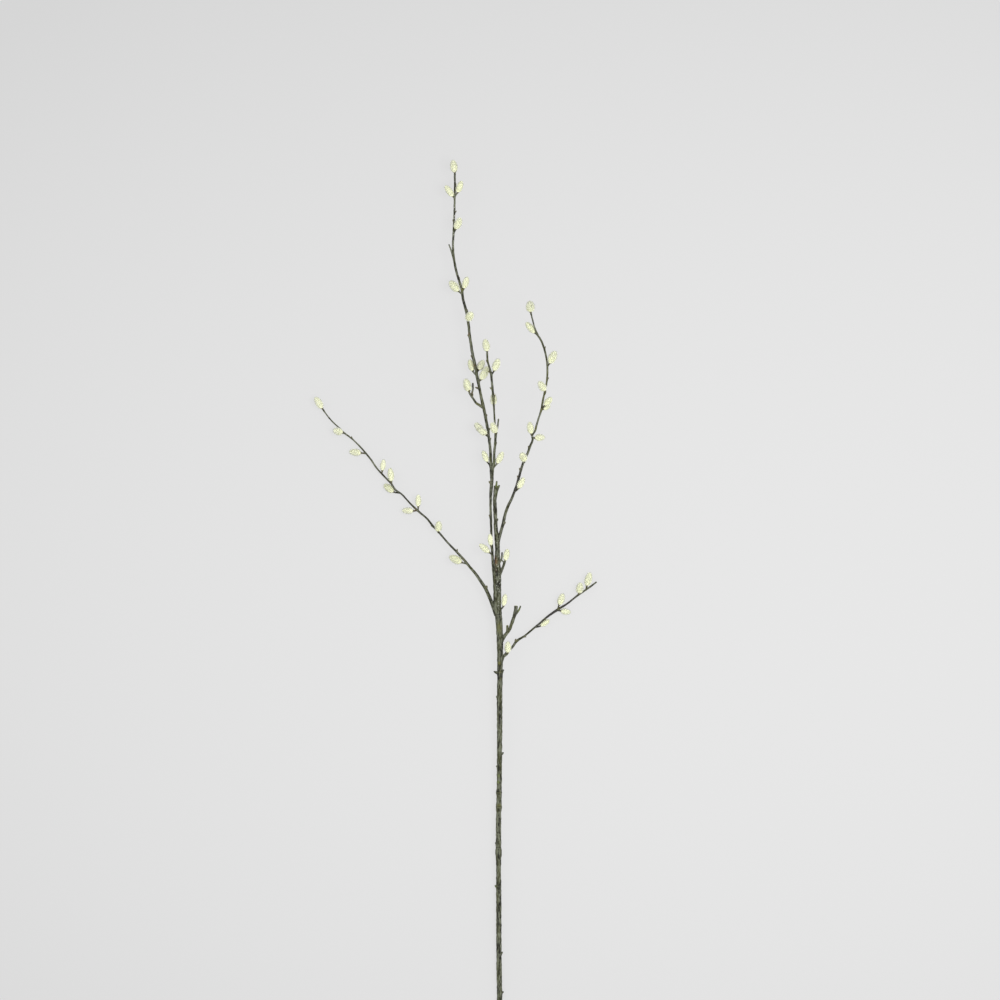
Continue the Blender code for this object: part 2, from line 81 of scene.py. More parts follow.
# %% Routes of the wood as x, y, z and radius, from root to tip
ROUTES = {
    "stem": (
        (0, 0, 3, 3.35), (-0.2, 32, 3, 3.3), (-1.2, 100, 6, 3.2), (-1.6, 187, 9.7, 3.2),
        (-1.8, 212, 10.7, 2.95), (-1.8, 226, 11.3, 3.3), (-1.8, 232, 11.6, 3.85),
        (-1.8, 236.5, 11.8, 4.1), (-1.8, 239, 11.9, 3.4), (-1.6, 284, 13.8, 3.1), (-1.4, 291, 14.1, 3.8),
        (-1.3, 298, 14.4, 3.2), (-1.2, 305.5, 14.7, 3.2), (-1.2, 309, 14.9, 3.65), (-1.1, 313, 15, 3.1),
        (-0.6, 350, 16.6, 3.1), (-0.4, 395, 18.4, 3.3), (-0.4, 437, 20.2, 3.35), (0, 456, 21, 3.3),
        (0, 460, 21.2, 3.7), (0, 464, 21.4, 3.35), (0, 494, 22.6, 3.85), (-0.9, 516, 23.5, 4.1),
        (-1.9, 530, 24, 4.35), (-3.1, 542, 24.6, 4.7), (-3.5, 567, 25.6, 5), (-3.7, 583, 26.2, 4.9),
        (-3.4, 600, 27, 3.6), (-3.2, 612, 27.5, 2.95), (-3.6, 625, 28, 3.1), (-5.1, 637, 28.6, 2.4),
        (-5.6, 650, 29, 2.15), (-6.1, 662, 29.6, 2.3), (-6.5, 675, 30, 2.15), (-5.4, 686, 30.7, 2.6),
        (-4.6, 692.5, 31, 2.9),
    ),
    "leader": (
        (-4.5, 560, 25.5, 2.2), (-7, 580, 27, 1.9), (-9, 597, 28.5, 1.6), (-9.6, 610, 29.5, 1.5),
        (-10.5, 625, 30.5, 1.4), (-11, 642, 31.5, 1.45), (-11.5, 655, 32, 1.5), (-11.8, 668, 32.5, 1.5),
        (-11.6, 680, 33, 1.8), (-10.9, 690, 33.5, 2.1), (-10.2, 699, 34, 2.1), (-10.7, 710, 34.3, 2.2),
        (-11.6, 725, 34.6, 1.9), (-12, 737, 34.8, 1.7), (-13.6, 750, 35, 1.65), (-14.9, 761, 35, 1.75),
        (-17.5, 775, 35, 1.8), (-20.5, 790.5, 35, 1.85), (-23.4, 803, 35, 1.7), (-26, 816, 35, 1.6),
        (-27.8, 825, 34.5, 1.9), (-31, 843, 34, 1.8), (-34, 856, 33.5, 1.8), (-37.1, 875, 32.5, 1.6),
        (-39.4, 895, 31.5, 1.55), (-42.2, 911.5, 30.5, 1.65), (-46, 925, 30, 1.6), (-48, 939, 29.5, 1.6),
        (-52.1, 952, 29, 1.4), (-56, 967, 28.5, 1.45), (-57.8, 978, 28.3, 1.4), (-58.7, 990, 28.1, 1.3),
        (-57.9, 1012, 28, 1.35), (-57.4, 1027, 28, 1.1), (-56.9, 1040, 28, 1.15),
        (-56.6, 1055, 28.2, 1.2), (-56.4, 1070, 28.5, 1.15), (-56.5, 1083, 29, 1.15),
    ),
    "centre": (
        (-10, 705, 34.3, 1.6), (-8.9, 715, 36, 1.5), (-7.2, 722, 37.5, 1.75), (-7.3, 731, 39, 1.55),
        (-6.1, 745, 41.5, 1.5), (-5.5, 757, 43.5, 1.6), (-6.6, 773, 46, 1.15), (-7.4, 787, 48, 1.1),
        (-8, 800, 50, 1.4), (-9.2, 812, 51.5, 1.45), (-10.3, 824, 53, 1.4), (-11.2, 833, 54, 1.6),
        (-13.4, 841, 55, 1.15), (-15.5, 849, 56, 1.15), (-16, 859, 57.3, 1.1),
    ),
    "right": (
        (-3.4, 616, 27.8, 1.7), (-1.1, 628, 29, 1.85), (1.5, 637, 31, 1.85), (4, 646, 33, 1.9),
        (5.9, 655, 35, 1.85), (9.5, 666, 37.5, 1.8), (14.2, 676, 40, 1.65), (20.1, 691.5, 44, 1.55),
        (23.7, 703.5, 47, 1.6), (26.4, 713.5, 49.5, 1.5), (29.5, 723, 52, 1.45), (34.1, 732.5, 54.5, 1.4),
        (37.7, 742.5, 57, 1.5), (40.7, 750.5, 58.5, 1.2), (40.6, 756, 59.5, 1), (43.5, 760.5, 60.5, 1.2),
        (45.6, 768.5, 62, 1.25), (48.7, 778.5, 64, 1.1), (51.4, 787, 66, 1.3), (53.1, 797.5, 68, 1.2),
        (55.4, 808.5, 70, 1.1), (57.9, 820, 72, 1.1), (59, 832, 74, 1.25), (58.9, 843, 76, 1.15),
        (57.4, 854, 77.5, 1.15), (55.2, 863, 79, 1.15), (51.7, 872.5, 80.5, 1.15), (46.2, 882, 82, 1.3),
        (42.7, 891, 83, 0.9), (40.4, 900, 84, 0.85), (38.4, 907.5, 85, 0.95),
    ),
    "left": (
        (-4.5, 531, 24, 2.3), (-7.8, 540, 24, 2.3), (-12.5, 552, 23.5, 2.2), (-18.9, 565.5, 22.5, 2.1),
        (-24.8, 574.5, 21.5, 1.9), (-31.1, 583.5, 20.5, 1.75), (-37.5, 591, 19.5, 1.6),
        (-45.3, 600.5, 18.5, 1.5), (-55.6, 611.5, 17, 1.35), (-65.3, 621.5, 15.8, 1.15),
        (-74.8, 632.5, 14.5, 1.15), (-84.4, 643, 13.2, 1.3), (-90.8, 651, 12.4, 1.15),
        (-98.8, 658, 11.5, 1.2), (-105.1, 663.5, 10.8, 1.3), (-114.6, 673, 9.9, 1.05),
        (-123.4, 682.5, 9.2, 1.05), (-130.6, 687.5, 8.7, 1.2), (-136.3, 695.5, 8.2, 1.1),
        (-145.4, 705, 7.6, 1.1), (-154.4, 715, 7.2, 1), (-161.5, 725.5, 6.9, 1.05),
        (-167.9, 733.5, 6.8, 1.1), (-178.3, 745, 6.8, 0.9), (-186.3, 752.5, 7, 0.9),
        (-195, 759, 7.4, 0.95), (-202.1, 766, 8, 0.85), (-210.1, 773.5, 9, 0.8), (-216.5, 781, 10.2, 0.8),
        (-221.8, 788.5, 11.5, 0.85),
    ),
    "low": (
        (1, 470, 21.6, 1.7), (3.1, 476.5, 21.2, 1.6), (7.5, 483.5, 20.2, 1.25), (13.8, 489, 19, 1.3),
        (21, 498.5, 16.8, 1.6), (31.5, 505.5, 14.8, 1.15), (41.1, 513.5, 12.8, 1.15),
        (49.6, 520.5, 11, 1.2), (56.4, 526.5, 9.9, 1.25), (72.6, 538, 7.6, 1.6), (83.1, 544.5, 6.9, 1.1),
        (92.8, 552, 6.4, 1.05), (98.5, 556.5, 6.3, 1.25), (105.1, 561, 6.5, 1.2), (113, 566.5, 7.2, 1.1),
        (120.5, 572, 8, 0.95),
    ),
    "spur": (
        (-20.3, 790, 35, 1.4), (-24.8, 793, 36, 1.45), (-29.1, 795.6, 37, 1.5), (-33.4, 801.4, 38.5, 1.3),
        (-37, 806.6, 40, 1.2), (-38.4, 809, 40.8, 1.05),
    ),
    "fork": (
        (-2.2, 578, 27, 2), (1, 585, 28.5, 1.7), (4, 592, 30.5, 1.6), (6, 597.6, 32.3, 1.45),
    ),
    "stub": (
        (0.5, 496, 22.6, 2.3), (3.8, 502, 23.5, 2.1), (8, 508, 25, 2), (11.4, 512.5, 26, 1.95),
        (14.4, 520, 27.5, 1.95), (17.1, 528, 29, 2), (19.2, 535, 30.5, 2.3), (20, 542.5, 32, 2.15),
    ),
}
PRONGS = (
    ((-5.4, 684.0, 30.4, 1.5), (-4.7, 692.0, 31.6, 1.3), (-4.0, 698.5, 32.6, 1.0)),
    ((-5.6, 682.0, 30.3, 1.6), (-2.8, 689.0, 30.8, 1.5), (-0.9, 693.5, 31.2, 1.1)),
    ((-57.4, 974.0, 28.3, 1.2), (-60.2, 984.5, 29.0, 1.05), (-63.8, 994.5, 30.0, 0.8)),
    ((-5.2, 755.0, 43.3, 1.2), (-2.9, 767.0, 45.3, 1.0), (-1.9, 776.0, 47.0, 0.95)),
    ((-36.0, 805.0, 39.6, 1.15), (-33.8, 813.5, 42.0, 1.15), (-34.0, 821.0, 44.5, 1.05)),
    ((-1.6, 595.0, 28.4, 1.4), (2.0, 602.0, 31.0, 1.1), (2.6, 609.5, 32.0, 0.9)),
    ((1.4, 600.8, 30.6, 0.9), (5.4, 596.4, 31.8, 0.9)),
    ((18.8, 531.0, 29.9, 1.3), (23.3, 537.0, 31.5, 1.15), (25.8, 542.5, 33.0, 0.85)),
    ((6.6, 504.5, 24.4, 1.3), (8.8, 510.5, 26.6, 1.4), (9.2, 518.0, 29.0, 1.45)),
)
print("routes:", len(ROUTES), "prongs:", len(PRONGS))

# %% Tips of the resting buds, as x and y
BUD_TIPS = (
    (-54.6, 1070.5), (-54.2, 1036.5), (-59.2, 1025.5), (-50.8, 953.5), (-41.2, 913.5), (-40.6, 881.5),
    (-36.4, 855.5), (-29.4, 816), (-16.4, 782), (-12.6, 765), (-11.4, 752.5), (-14, 698.5),
    (-13.8, 656.5), (-17.2, 849.5), (-14.9, 836), (-12.8, 815.5), (-6, 806), (-4.2, 747), (-31.4, 815.8),
    (-33.4, 808), (56.8, 866.5), (60.9, 827.5), (35.4, 742.5), (24.2, 715), (21.6, 705.5), (6.9, 647.5),
    (-86.4, 643), (-53.4, 614), (-16.4, 568), (-186, 755), (-8, 460.5), (4.9, 462.5), (-4.6, 429.5),
    (4.5, 359), (-4.5, 342.5), (-5.7, 246.5), (-6.4, 192.5), (3.3, 109), (4.4, 59.5), (-2.6, 651.5),
    (19.8, 501.5), (33, 503.6),
)

# %% Catkins as x, y and z of the foot, heading and pitch in degrees, length and width
CATKINS = {
    "leader": (
        (-56.5, 1084.3, 29.2, 99, 3, 15.6, 8.6), (-58.7, 1054.6, 28.6, 126, 8, 16.6, 7.6),
        (-53.2, 1059.3, 29, 69, 12, 15.4, 7.6), (-55.5, 1013.5, 30.4, 66, 12, 15.6, 8.8),
        (-51.7, 936, 29.8, 132, 6, 16.6, 9.8), (-45.2, 939.3, 30.4, 73, 10, 15.4, 7.6),
        (-40.3, 900.2, 34.2, 60, 50, 15, 9.6), (-33.9, 836.2, 29.4, 106, -8, 15, 7.8),
        (-26.9, 837.6, 31, 62, -8, 13.5, 8.4), (-24.4, 825.2, 36, 59, 3, 19.4, 9.2),
        (-21.2, 759.3, 31.6, 130, -2, 15.4, 8.4), (-16.6, 757.4, 38, 150, 22, 12.5, 8),
        (-15.5, 722.5, 34.6, 113, 4, 15.2, 7), (-11.3, 617.8, 33.7, 96, 14, 15.2, 6.4),
        (-13.2, 609.4, 29.6, 140, 5, 16.2, 7.6),
    ),
    "spur": (
        (-38.6, 810.6, 41.2, 106, 8, 16.4, 9.4),
    ),
    "centre": (
        (-16.1, 860.3, 57.5, 99, 4, 15.6, 8.6), (-7.6, 836.2, 55.4, 68, 10, 16.2, 8.8),
        (-7.9, 793.6, 44.6, 91, -10, 14.6, 7.8), (-5.4, 758.6, 48.1, 110, 26, 15, 8.8),
        (-3.7, 720.6, 38, 63, 6, 16.4, 7.6),
    ),
    "right": (
        (38.2, 908.8, 85.2, 94, 4, 13.6, 10.2), (43.8, 883, 79.7, 131, -4, 17.4, 7.8),
        (61.6, 845.2, 76.8, 63, 8, 17, 9.6), (56.4, 810.8, 74.2, 124, 20, 15, 8.6),
        (55.5, 792.7, 69.6, 48, 14, 13.6, 7.8), (53.7, 788.3, 64, 26, -12, 10, 5.6),
        (39, 757.4, 60.5, 98, 8, 15.2, 8.2), (43.2, 752.6, 58.6, 3, 4, 12.6, 8),
        (31, 723.8, 56, 114, 44, 14, 8.8), (22.6, 689.2, 47.4, 62, 14, 16, 7.4),
    ),
    "left": (
        (-222.4, 789.6, 11.7, 122, 4, 16.8, 8.4), (-197.2, 759.2, 10.3, 163, 24, 12.6, 8.8),
        (-173.8, 733.8, 4.7, 173, -4, 14.8, 8.2), (-147.4, 711.6, 9.2, 82, 10, 14.4, 6.6),
        (-136, 698.4, 10.2, 95, 10, 16.8, 7.8), (-133.1, 685.2, 6, 143, -5, 15.2, 8.6),
        (-102.4, 666.6, 12.6, 89, 8, 15.2, 7), (-108.4, 661.4, 9.4, 178, -6, 14.2, 7.6),
        (-77.6, 635.6, 16.8, 84, 30, 14.4, 8.4), (-47.8, 596.9, 17.6, 154, -4, 17, 9.4),
    ),
    "fork": (
        (6.5, 599.2, 32.9, 78, 10, 15, 7.4),
    ),
    "stem": (
        (4.2, 542.4, 26.2, 80, 8, 15.4, 6.8),
    ),
    "low": (
        (9.8, 483.8, 24, 90, 20, 15, 8), (50.6, 517.4, 6.4, 34, -3, 13.4, 6.6),
        (74, 543.6, 10.4, 70, 8, 15.2, 8.2), (76, 536.2, 3.9, -9, -6, 12.6, 7.2),
        (98.9, 558, 9.2, 82, 14, 13.8, 8.6), (108.6, 567.4, 9, 76, 6, 17.4, 8.6),
    ),
}
print("buds:", len(BUD_TIPS), "catkins:", sum(len(rows) for rows in CATKINS.values()))

# %% [markdown]
# ## Effects that several materials share
# Bark, bud scales and cut wood all show fibres that run along the shoot. One node group draws
# them: noise that is squeezed across the shoot and stretched along it. Each vertex carries its
# own place on the shoot, so the fibres follow every bend. An image could not do that without
# a seam, and plain object coordinates would ignore the bends.


# %% Node group: fibres along the wood
def new_group(name, inputs, outputs):
    """An empty shader group with float or vector inputs and float outputs."""
    group = bpy.data.node_groups.new(name, "ShaderNodeTree")
    for label, value in inputs.items():
        kind = "NodeSocketVector" if value is None else "NodeSocketFloat"
        socket = group.interface.new_socket(label, in_out="INPUT", socket_type=kind)
        if value is not None:
            socket.default_value = value
    for label in outputs:
        group.interface.new_socket(label, in_out="OUTPUT", socket_type="NodeSocketFloat")
    return group


def noise_in(tree, vector, scale, detail=3.0, rough=0.6):
    """A noise texture on a vector, as its value socket."""
    made = tree.nodes.new("ShaderNodeTexNoise")
    made.inputs["Scale"].default_value = scale
    made.inputs["Detail"].default_value = detail
    made.inputs["Roughness"].default_value = rough
    tree.links.new(vector, made.inputs["Vector"])
    return made.outputs["Fac"]


def spread(tree, value, low, high, to_low=0.0, to_high=1.0):
    """A value stretched from low and high to new ends and kept between them."""
    made = tree.nodes.new("ShaderNodeMapRange")
    made.inputs["From Min"].default_value = low
    made.inputs["From Max"].default_value = high
    made.inputs["To Min"].default_value = to_low
    made.inputs["To Max"].default_value = to_high
    tree.links.new(value, made.inputs["Value"])
    return made.outputs["Result"]


def reckoned(tree, operation, *values, kind="Math"):
    """A Math or VectorMath node whose inputs are sockets or plain values, as the node."""
    made = tree.nodes.new("ShaderNode" + kind)
    made.operation = operation
    for socket, value in zip(made.inputs, values):
        if isinstance(value, bpy.types.NodeSocket):
            tree.links.new(value, socket)
        else:
            socket.default_value = value
    return made


def stretched(tree, vector, across, along):
    """A vector whose x and y grow by one socket and whose z grows by another."""
    factors = tree.nodes.new("ShaderNodeCombineXYZ")
    for axis, factor in zip("XYZ", (across, across, along)):
        tree.links.new(factor, factors.inputs[axis])
    return reckoned(tree, "MULTIPLY", vector, factors.outputs["Vector"], kind="VectorMath").outputs["Vector"]


def fibre_group():
    group = new_group(
        "wood fibres",
        {"Place": None, "Across": 1.6, "Along": 0.16, "Blotch across": 0.52, "Blotch along": 0.12},
        ("Fibres", "Mottle", "Grain", "Clouds", "Tint", "Lenticels", "Specks", "Height"),
    )
    given = group.nodes.new("NodeGroupInput")
    place = given.outputs["Place"]
    drawn = stretched(group, place, given.outputs["Across"], given.outputs["Along"])
    long_fibres = noise_in(group, drawn, 1.0, 4.0, 0.65)
    fine_fibres = noise_in(group, drawn, 3.1, 3.0, 0.7)
    blotches = stretched(group, place, given.outputs["Blotch across"], given.outputs["Blotch along"])
    patches = noise_in(group, blotches, 1.0, 4.0, 0.68)
    grain = noise_in(group, place, 1.9, 3.0, 0.65)
    clouds = noise_in(group, place, 0.17, 3.0, 0.6)
    tint = noise_in(group, blotches, 0.5, 3.0, 0.6)
    dots = group.nodes.new("ShaderNodeTexVoronoi")
    dots.inputs["Scale"].default_value = 0.42
    group.links.new(place, dots.inputs["Vector"])
    raised = spread(group, dots.outputs["Distance"], 0.06, 0.12, 1.0, 0.0)
    specks = spread(group, dots.outputs["Distance"], 0.20, 0.36, 1.0, 0.0)
    broad = spread(group, long_fibres, 0.3, 0.7)
    fine = spread(group, fine_fibres, 0.25, 0.7, 0.35, 1.0)
    ridges = reckoned(group, "MULTIPLY", broad, fine).outputs["Value"]
    bumps = spread(group, dots.outputs["Distance"], 0.05, 0.14, 0.9, 0.0)
    height = reckoned(group, "MAXIMUM", ridges, bumps).outputs["Value"]
    result = group.nodes.new("NodeGroupOutput")
    for name, value, low, high in (
        ("Fibres", long_fibres, 0.36, 0.66),
        ("Mottle", patches, 0.42, 0.58),
        ("Grain", grain, 0.3, 0.7),
        ("Clouds", clouds, 0.34, 0.66),
        ("Tint", tint, 0.40, 0.62),
    ):
        group.links.new(spread(group, value, low, high), result.inputs[name])
    for name, value in (("Lenticels", raised), ("Specks", specks), ("Height", height)):
        group.links.new(value, result.inputs[name])
    return group


WOOD_FIBRES = fibre_group()
print("node group:", WOOD_FIBRES.name, [item.name for item in WOOD_FIBRES.interface.items_tree])


# %% Small helpers for materials
def new_material(name, roughness):
    """A material with one Principled shader, as its tree and its shader."""
    made = bpy.data.materials.new(name)
    made.use_nodes = True
    shader = made.node_tree.nodes["Principled BSDF"]
    shader.inputs["Roughness"].default_value = roughness
    return made, made.node_tree, shader


def stored(tree, name, vector=False):
    """The socket of a value that the mesh carries at its points."""
    node = tree.nodes.new("ShaderNodeAttribute")
    node.attribute_name = name
    return node.outputs["Vector" if vector else "Fac"]


def blend(tree, factor, first, second):
    """One colour socket from two colours or colour sockets and a factor socket."""
    node = tree.nodes.new("ShaderNodeMix")
    node.data_type = "RGBA"
    tree.links.new(factor, node.inputs["Factor"])
    for slot, colour in (("A", first), ("B", second)):
        socket = next(s for s in node.inputs if s.name == slot and s.type == "RGBA")
        if isinstance(colour, tuple):
            socket.default_value = (*colour, 1.0)
        else:
            tree.links.new(colour, socket)
    return next(s for s in node.outputs if s.type == "RGBA")


def fibres_in(tree, across, along):
    """The fibre group placed in a material, as its node."""
    node = tree.nodes.new("ShaderNodeGroup")
    node.node_tree = WOOD_FIBRES
    node.inputs["Across"].default_value = across
    node.inputs["Along"].default_value = along
    tree.links.new(stored(tree, "place", vector=True), node.inputs["Place"])
    return node


def raise_surface(tree, height, shader, strength, distance_mm):
    """A Bump node between a height socket and the shader."""
    bump = tree.nodes.new("ShaderNodeBump")
    bump.inputs["Strength"].default_value = strength
    bump.inputs["Distance"].default_value = distance_mm * MM
    tree.links.new(height, bump.inputs["Height"])
    tree.links.new(bump.outputs["Normal"], shader.inputs["Normal"])


# %% [markdown]
# ## Bark
# Willow bark on a shoot of this age is dull. Dark grey-brown furrows lie between lighter
# grey-green ridges, and there are dark grey shoots, patches of olive, a few green spots at nodes,
# pale lichen specks and rusty bits. Fibre noise mixes the dark and the light tone, and painted
# shade keeps the light tone off the furrows. Most patches are named spots on the real twig, which
# the mesh carries as values at its points; a few pale ones are painted highlights along the
# stem's right side and round the fork. A painted texture would need an image, so stored values
# are the better choice.

# %% Material: bark
BARK_DARK = (0.006, 0.006, 0.005)
BARK_MIDDLE = (0.025, 0.025, 0.016)
BARK_LIGHT = (0.176, 0.186, 0.134)
BARK_OLIVE = (0.082, 0.086, 0.028)
BARK_MOSS = (0.128, 0.128, 0.044)
BARK_GREEN = (0.135, 0.162, 0.056)
BARK_GREY = (0.042, 0.038, 0.038)
BARK_LICHEN_AND_HIGHLIGHT = (0.500, 0.500, 0.440)
BARK_RUST = (0.130, 0.062, 0.022)
BARK_LENTICEL = (0.240, 0.230, 0.160)


def multiplied(tree, *values):
    """The first value times the second, plus the third if there is one, as a socket."""
    return reckoned(tree, ("MULTIPLY", "MULTIPLY_ADD")[len(values) - 2], *values).outputs["Value"]


def bark():
    made, tree, shader = new_material("bark", 0.8)
    shader.inputs["Specular IOR Level"].default_value = 0.15
    fibres = fibres_in(tree, 1.7, 0.19)
    base = blend(tree, fibres.outputs["Fibres"], BARK_DARK, BARK_MIDDLE)
    olive = spread(tree, fibres.outputs["Tint"], 0.0, 1.0, 0.0, 0.62)
    base = blend(tree, olive, base, BARK_OLIVE)
    # Painted shade: the light tone is held off the low places of the fibre height, so the furrows stay dark
    # as if in shade.
    ridges = spread(tree, fibres.outputs["Height"], 0.0, 0.8, 0.30, 1.0)
    mottle_with_furrow_shade = multiplied(tree, fibres.outputs["Mottle"], ridges)
    light = multiplied(tree, fibres.outputs["Clouds"], 0.30, mottle_with_furrow_shade)
    colour = blend(tree, spread(tree, light, 0.24, 0.88), base, BARK_LIGHT)
    for name, tone, pattern, gain in (
        ("grey", BARK_GREY, "Height", 1.2),
        ("olive", BARK_MOSS, "Height", 1.3),
        ("green", BARK_GREEN, "Height", 1.2),
        ("rust", BARK_RUST, "Grain", 1.0),
        # Pale lichen specks, with painted highlights along the stem's right side and round the fork.
        ("lichen_and_highlight", BARK_LICHEN_AND_HIGHLIGHT, "Specks", 0.8),
    ):
        reached = multiplied(tree, stored(tree, name), gain)
        share = multiplied(tree, fibres.outputs[pattern], 0.9, reached)
        colour = blend(tree, spread(tree, share, 0.95, 1.5), colour, tone)
    scar = stored(tree, "scar")
    colour = blend(tree, spread(tree, scar, 0.15, 0.8, 0.0, 0.4), colour, BARK_LIGHT)
    colour = blend(tree, spread(tree, scar, -0.06, -0.3, 0.0, 0.5), colour, BARK_DARK)
    pale = multiplied(tree, fibres.outputs["Lenticels"], fibres.outputs["Grain"])
    colour = blend(tree, spread(tree, pale, 0.25, 0.8, 0.0, 0.8), colour, BARK_LENTICEL)
    tree.links.new(colour, shader.inputs["Base Color"])
    rough = spread(tree, fibres.outputs["Mottle"], 0.0, 1.0, 0.62, 0.88)
    tree.links.new(rough, shader.inputs["Roughness"])
    raise_surface(tree, fibres.outputs["Height"], shader, 1.0, 0.4)
    return made


BARK = bark()
print("bark nodes:", len(BARK.node_tree.nodes))

# %% [markdown]
# ## Bud scales and cut ends
# A bud scale is a thin brown hood, smoother and glossier than bark. A cut end shows pale
# yellow-green wood with a darker pith. Both use the same fibre group with values of their own.


# %% Materials: bud scale and cut wood
def bud_scale():
    made, tree, shader = new_material("bud_scale", 0.5)
    fibres = fibres_in(tree, 2.4, 0.5)
    shade = blend(tree, fibres.outputs["Fibres"], (0.048, 0.042, 0.022), (0.150, 0.122, 0.054))
    greener = spread(tree, fibres.outputs["Mottle"], 0.5, 1.0, 0.0, 0.6)
    colour = blend(tree, greener, shade, (0.160, 0.165, 0.060))
    tree.links.new(colour, shader.inputs["Base Color"])
    rough = spread(tree, fibres.outputs["Mottle"], 0.0, 1.0, 0.4, 0.65)
    tree.links.new(rough, shader.inputs["Roughness"])
    raise_surface(tree, fibres.outputs["Height"], shader, 0.5, 0.12)
    return made


def cut_wood():
    made, tree, shader = new_material("cut_wood", 0.75)
    fibres = fibres_in(tree, 2.2, 2.2)
    outer = blend(tree, fibres.outputs["Fibres"], (0.240, 0.250, 0.095), (0.420, 0.400, 0.190))
    colour = blend(tree, stored(tree, "pith"), outer, (0.120, 0.085, 0.045))
    fresh = blend(tree, stored(tree, "green"), colour, (0.170, 0.240, 0.070))
    tree.links.new(fresh, shader.inputs["Base Color"])
    rough = spread(tree, fibres.outputs["Mottle"], 0.0, 1.0, 0.65, 0.85)
    tree.links.new(rough, shader.inputs["Roughness"])
    raise_surface(tree, fibres.outputs["Height"], shader, 0.5, 0.15)
    return made


BUD_SCALE = bud_scale()
CUT_WOOD = cut_wood()
WOOD_MATERIALS = (BARK, CUT_WOOD, BUD_SCALE)
print("wood materials:", [material.name for material in WOOD_MATERIALS])

# %% [markdown]
# ## A skin along a route
# A shoot could be a curve with a round bevel, which is quick but perfectly smooth. Here each
# shoot is a tube of rings made in code. Every ring point moves in or out a little: for long bark
# ridges, for slow lumps, and for the swelling under each bud and side shoot. The rings stand
# about one millimetre apart, close enough to carry those forms as real shape.


# %% Smooth line through the rows of a route
def smooth_route(rows, step, rings=()):
    """Places along a smooth line, with radius and distance, closer together at ring scars."""
    rows = np.array(rows, float)
    points = rows[:, :3]
    reach = np.concatenate(([0.0], np.cumsum(np.linalg.norm(np.diff(points, axis=0), axis=1))))
    lean = np.gradient(points, reach, axis=0)
    count = max(int(reach[-1] / step) + 1, 4)
    at = np.linspace(0.0, reach[-1], count)
    for ring in rings:
        at = at[np.abs(at - ring) > 1.5]
        at = np.sort(np.concatenate((at, ring + np.linspace(-1.35, 1.35, 10))))
    at = at[(at >= 0.0) & (at <= reach[-1])]
    cell = np.clip(np.searchsorted(reach, at, side="right") - 1, 0, len(reach) - 2)
    span = (reach[cell + 1] - reach[cell])[:, None]
    t = (at - reach[cell])[:, None] / span
    line = (2 * t**3 - 3 * t**2 + 1) * points[cell] + (t**3 - 2 * t**2 + t) * span * lean[cell]
    line += (3 * t**2 - 2 * t**3) * points[cell + 1] + (t**3 - t**2) * span * lean[cell + 1]
    return line, np.interp(at, reach, rows[:, 3]), at


def unit(vectors):
    return vectors / np.linalg.norm(vectors, axis=-1, keepdims=True)


def frames_along(places):
    """At each place, the direction along the shoot, one across it and one across and up."""
    along = unit(np.gradient(places, axis=0))
    across = unit(np.cross(along, (0.0, 0.0, 1.0)))
    return along, across, np.cross(across, along)


line, _, reach = smooth_route(ROUTES["leader"], 1.0)
print("leader:", round(float(reach[-1])), "mm long,", len(line), "places")


# %% Ridges and lumps of the bark
def noise_at(points):
    """Smooth noise from -1 to 1 at each point of a grid."""
    flat = points.reshape(-1, 3).tolist()
    return np.fromiter(map(noise.noise, flat), float, len(flat)).reshape(points.shape[:-1])


def bark_relief(turn, reach, depth, seed):
    """How far the bark stands in or out, in millimetres, over angle and distance."""
    wide = reach[:, None] + 0.0 * turn
    ring = np.stack((np.cos(turn) + 0.0 * wide, np.sin(turn) + 0.0 * wide, wide), axis=-1)
    start = np.array((seed * 7.3, seed * 3.1, seed * 11.7))
    ridges = 1.0 - 2.2 * np.abs(noise_at(ring * (2.4, 2.4, 0.11) + start))
    fine = noise_at(ring * (5.0, 5.0, 0.40) + start * 2)
    lumps = noise_at(ring * (0.9, 0.9, 0.27) + start * 3)
    return depth * (0.8 * ridges + 0.6 * fine + 1.9 * lumps)


def ring_scars(turn, reach, rings, height):
    """Raised uneven rings, each with a groove on its upper side, where a year's growth began."""
    total = np.zeros((len(reach), len(turn)))
    for number, ring in enumerate(rings):
        wave = 0.22 * np.sin(turn * 2 + number) + 0.12 * np.sin(turn * 3 + 2 * number)
        gap = (reach[:, None] - ring - wave) / 0.5
        total += height * np.exp(-(gap**2))
        total -= height * (0.45 * np.exp(-((gap - 2.0) ** 2)) + 0.12 * np.exp(-((gap + 2.0) ** 2)))
    return total


def swellings(turn, reach, radii, knots):
    """The bulge at each knot: distance, angle, height, half length and half width."""
    total = np.zeros((len(reach), len(turn)))
    for place, angle, height, half_length, half_width in knots:
        near = np.exp(-(((reach - place) / half_length) ** 2))[:, None]
        gap = (turn - angle + math.pi) % math.tau - math.pi
        beside = np.exp(-((gap * radii[:, None] / half_width) ** 2))
        total += height * near * beside
    return total


print("relief at 0.1 mm depth:", np.round(bark_relief(np.zeros(1), np.arange(3.0), 0.1, 1).ravel(), 3))

# %% [markdown]
# ## Where things are attached
# A side shoot, a catkin stalk and a bud each leave the wood with a small swelling at their foot,
# and the bark rises smoothly into them. So before any skin is made, the lesson finds for each
# attached thing the nearest place on its parent, and the side of the parent that it faces.

# %% Nearest place on a route
PARENT = {
    "leader": "stem",
    "centre": "leader",
    "right": "stem",
    "left": "stem",
    "low": "stem",
    "spur": "leader",
    "fork": "stem",
    "stub": "stem",
}


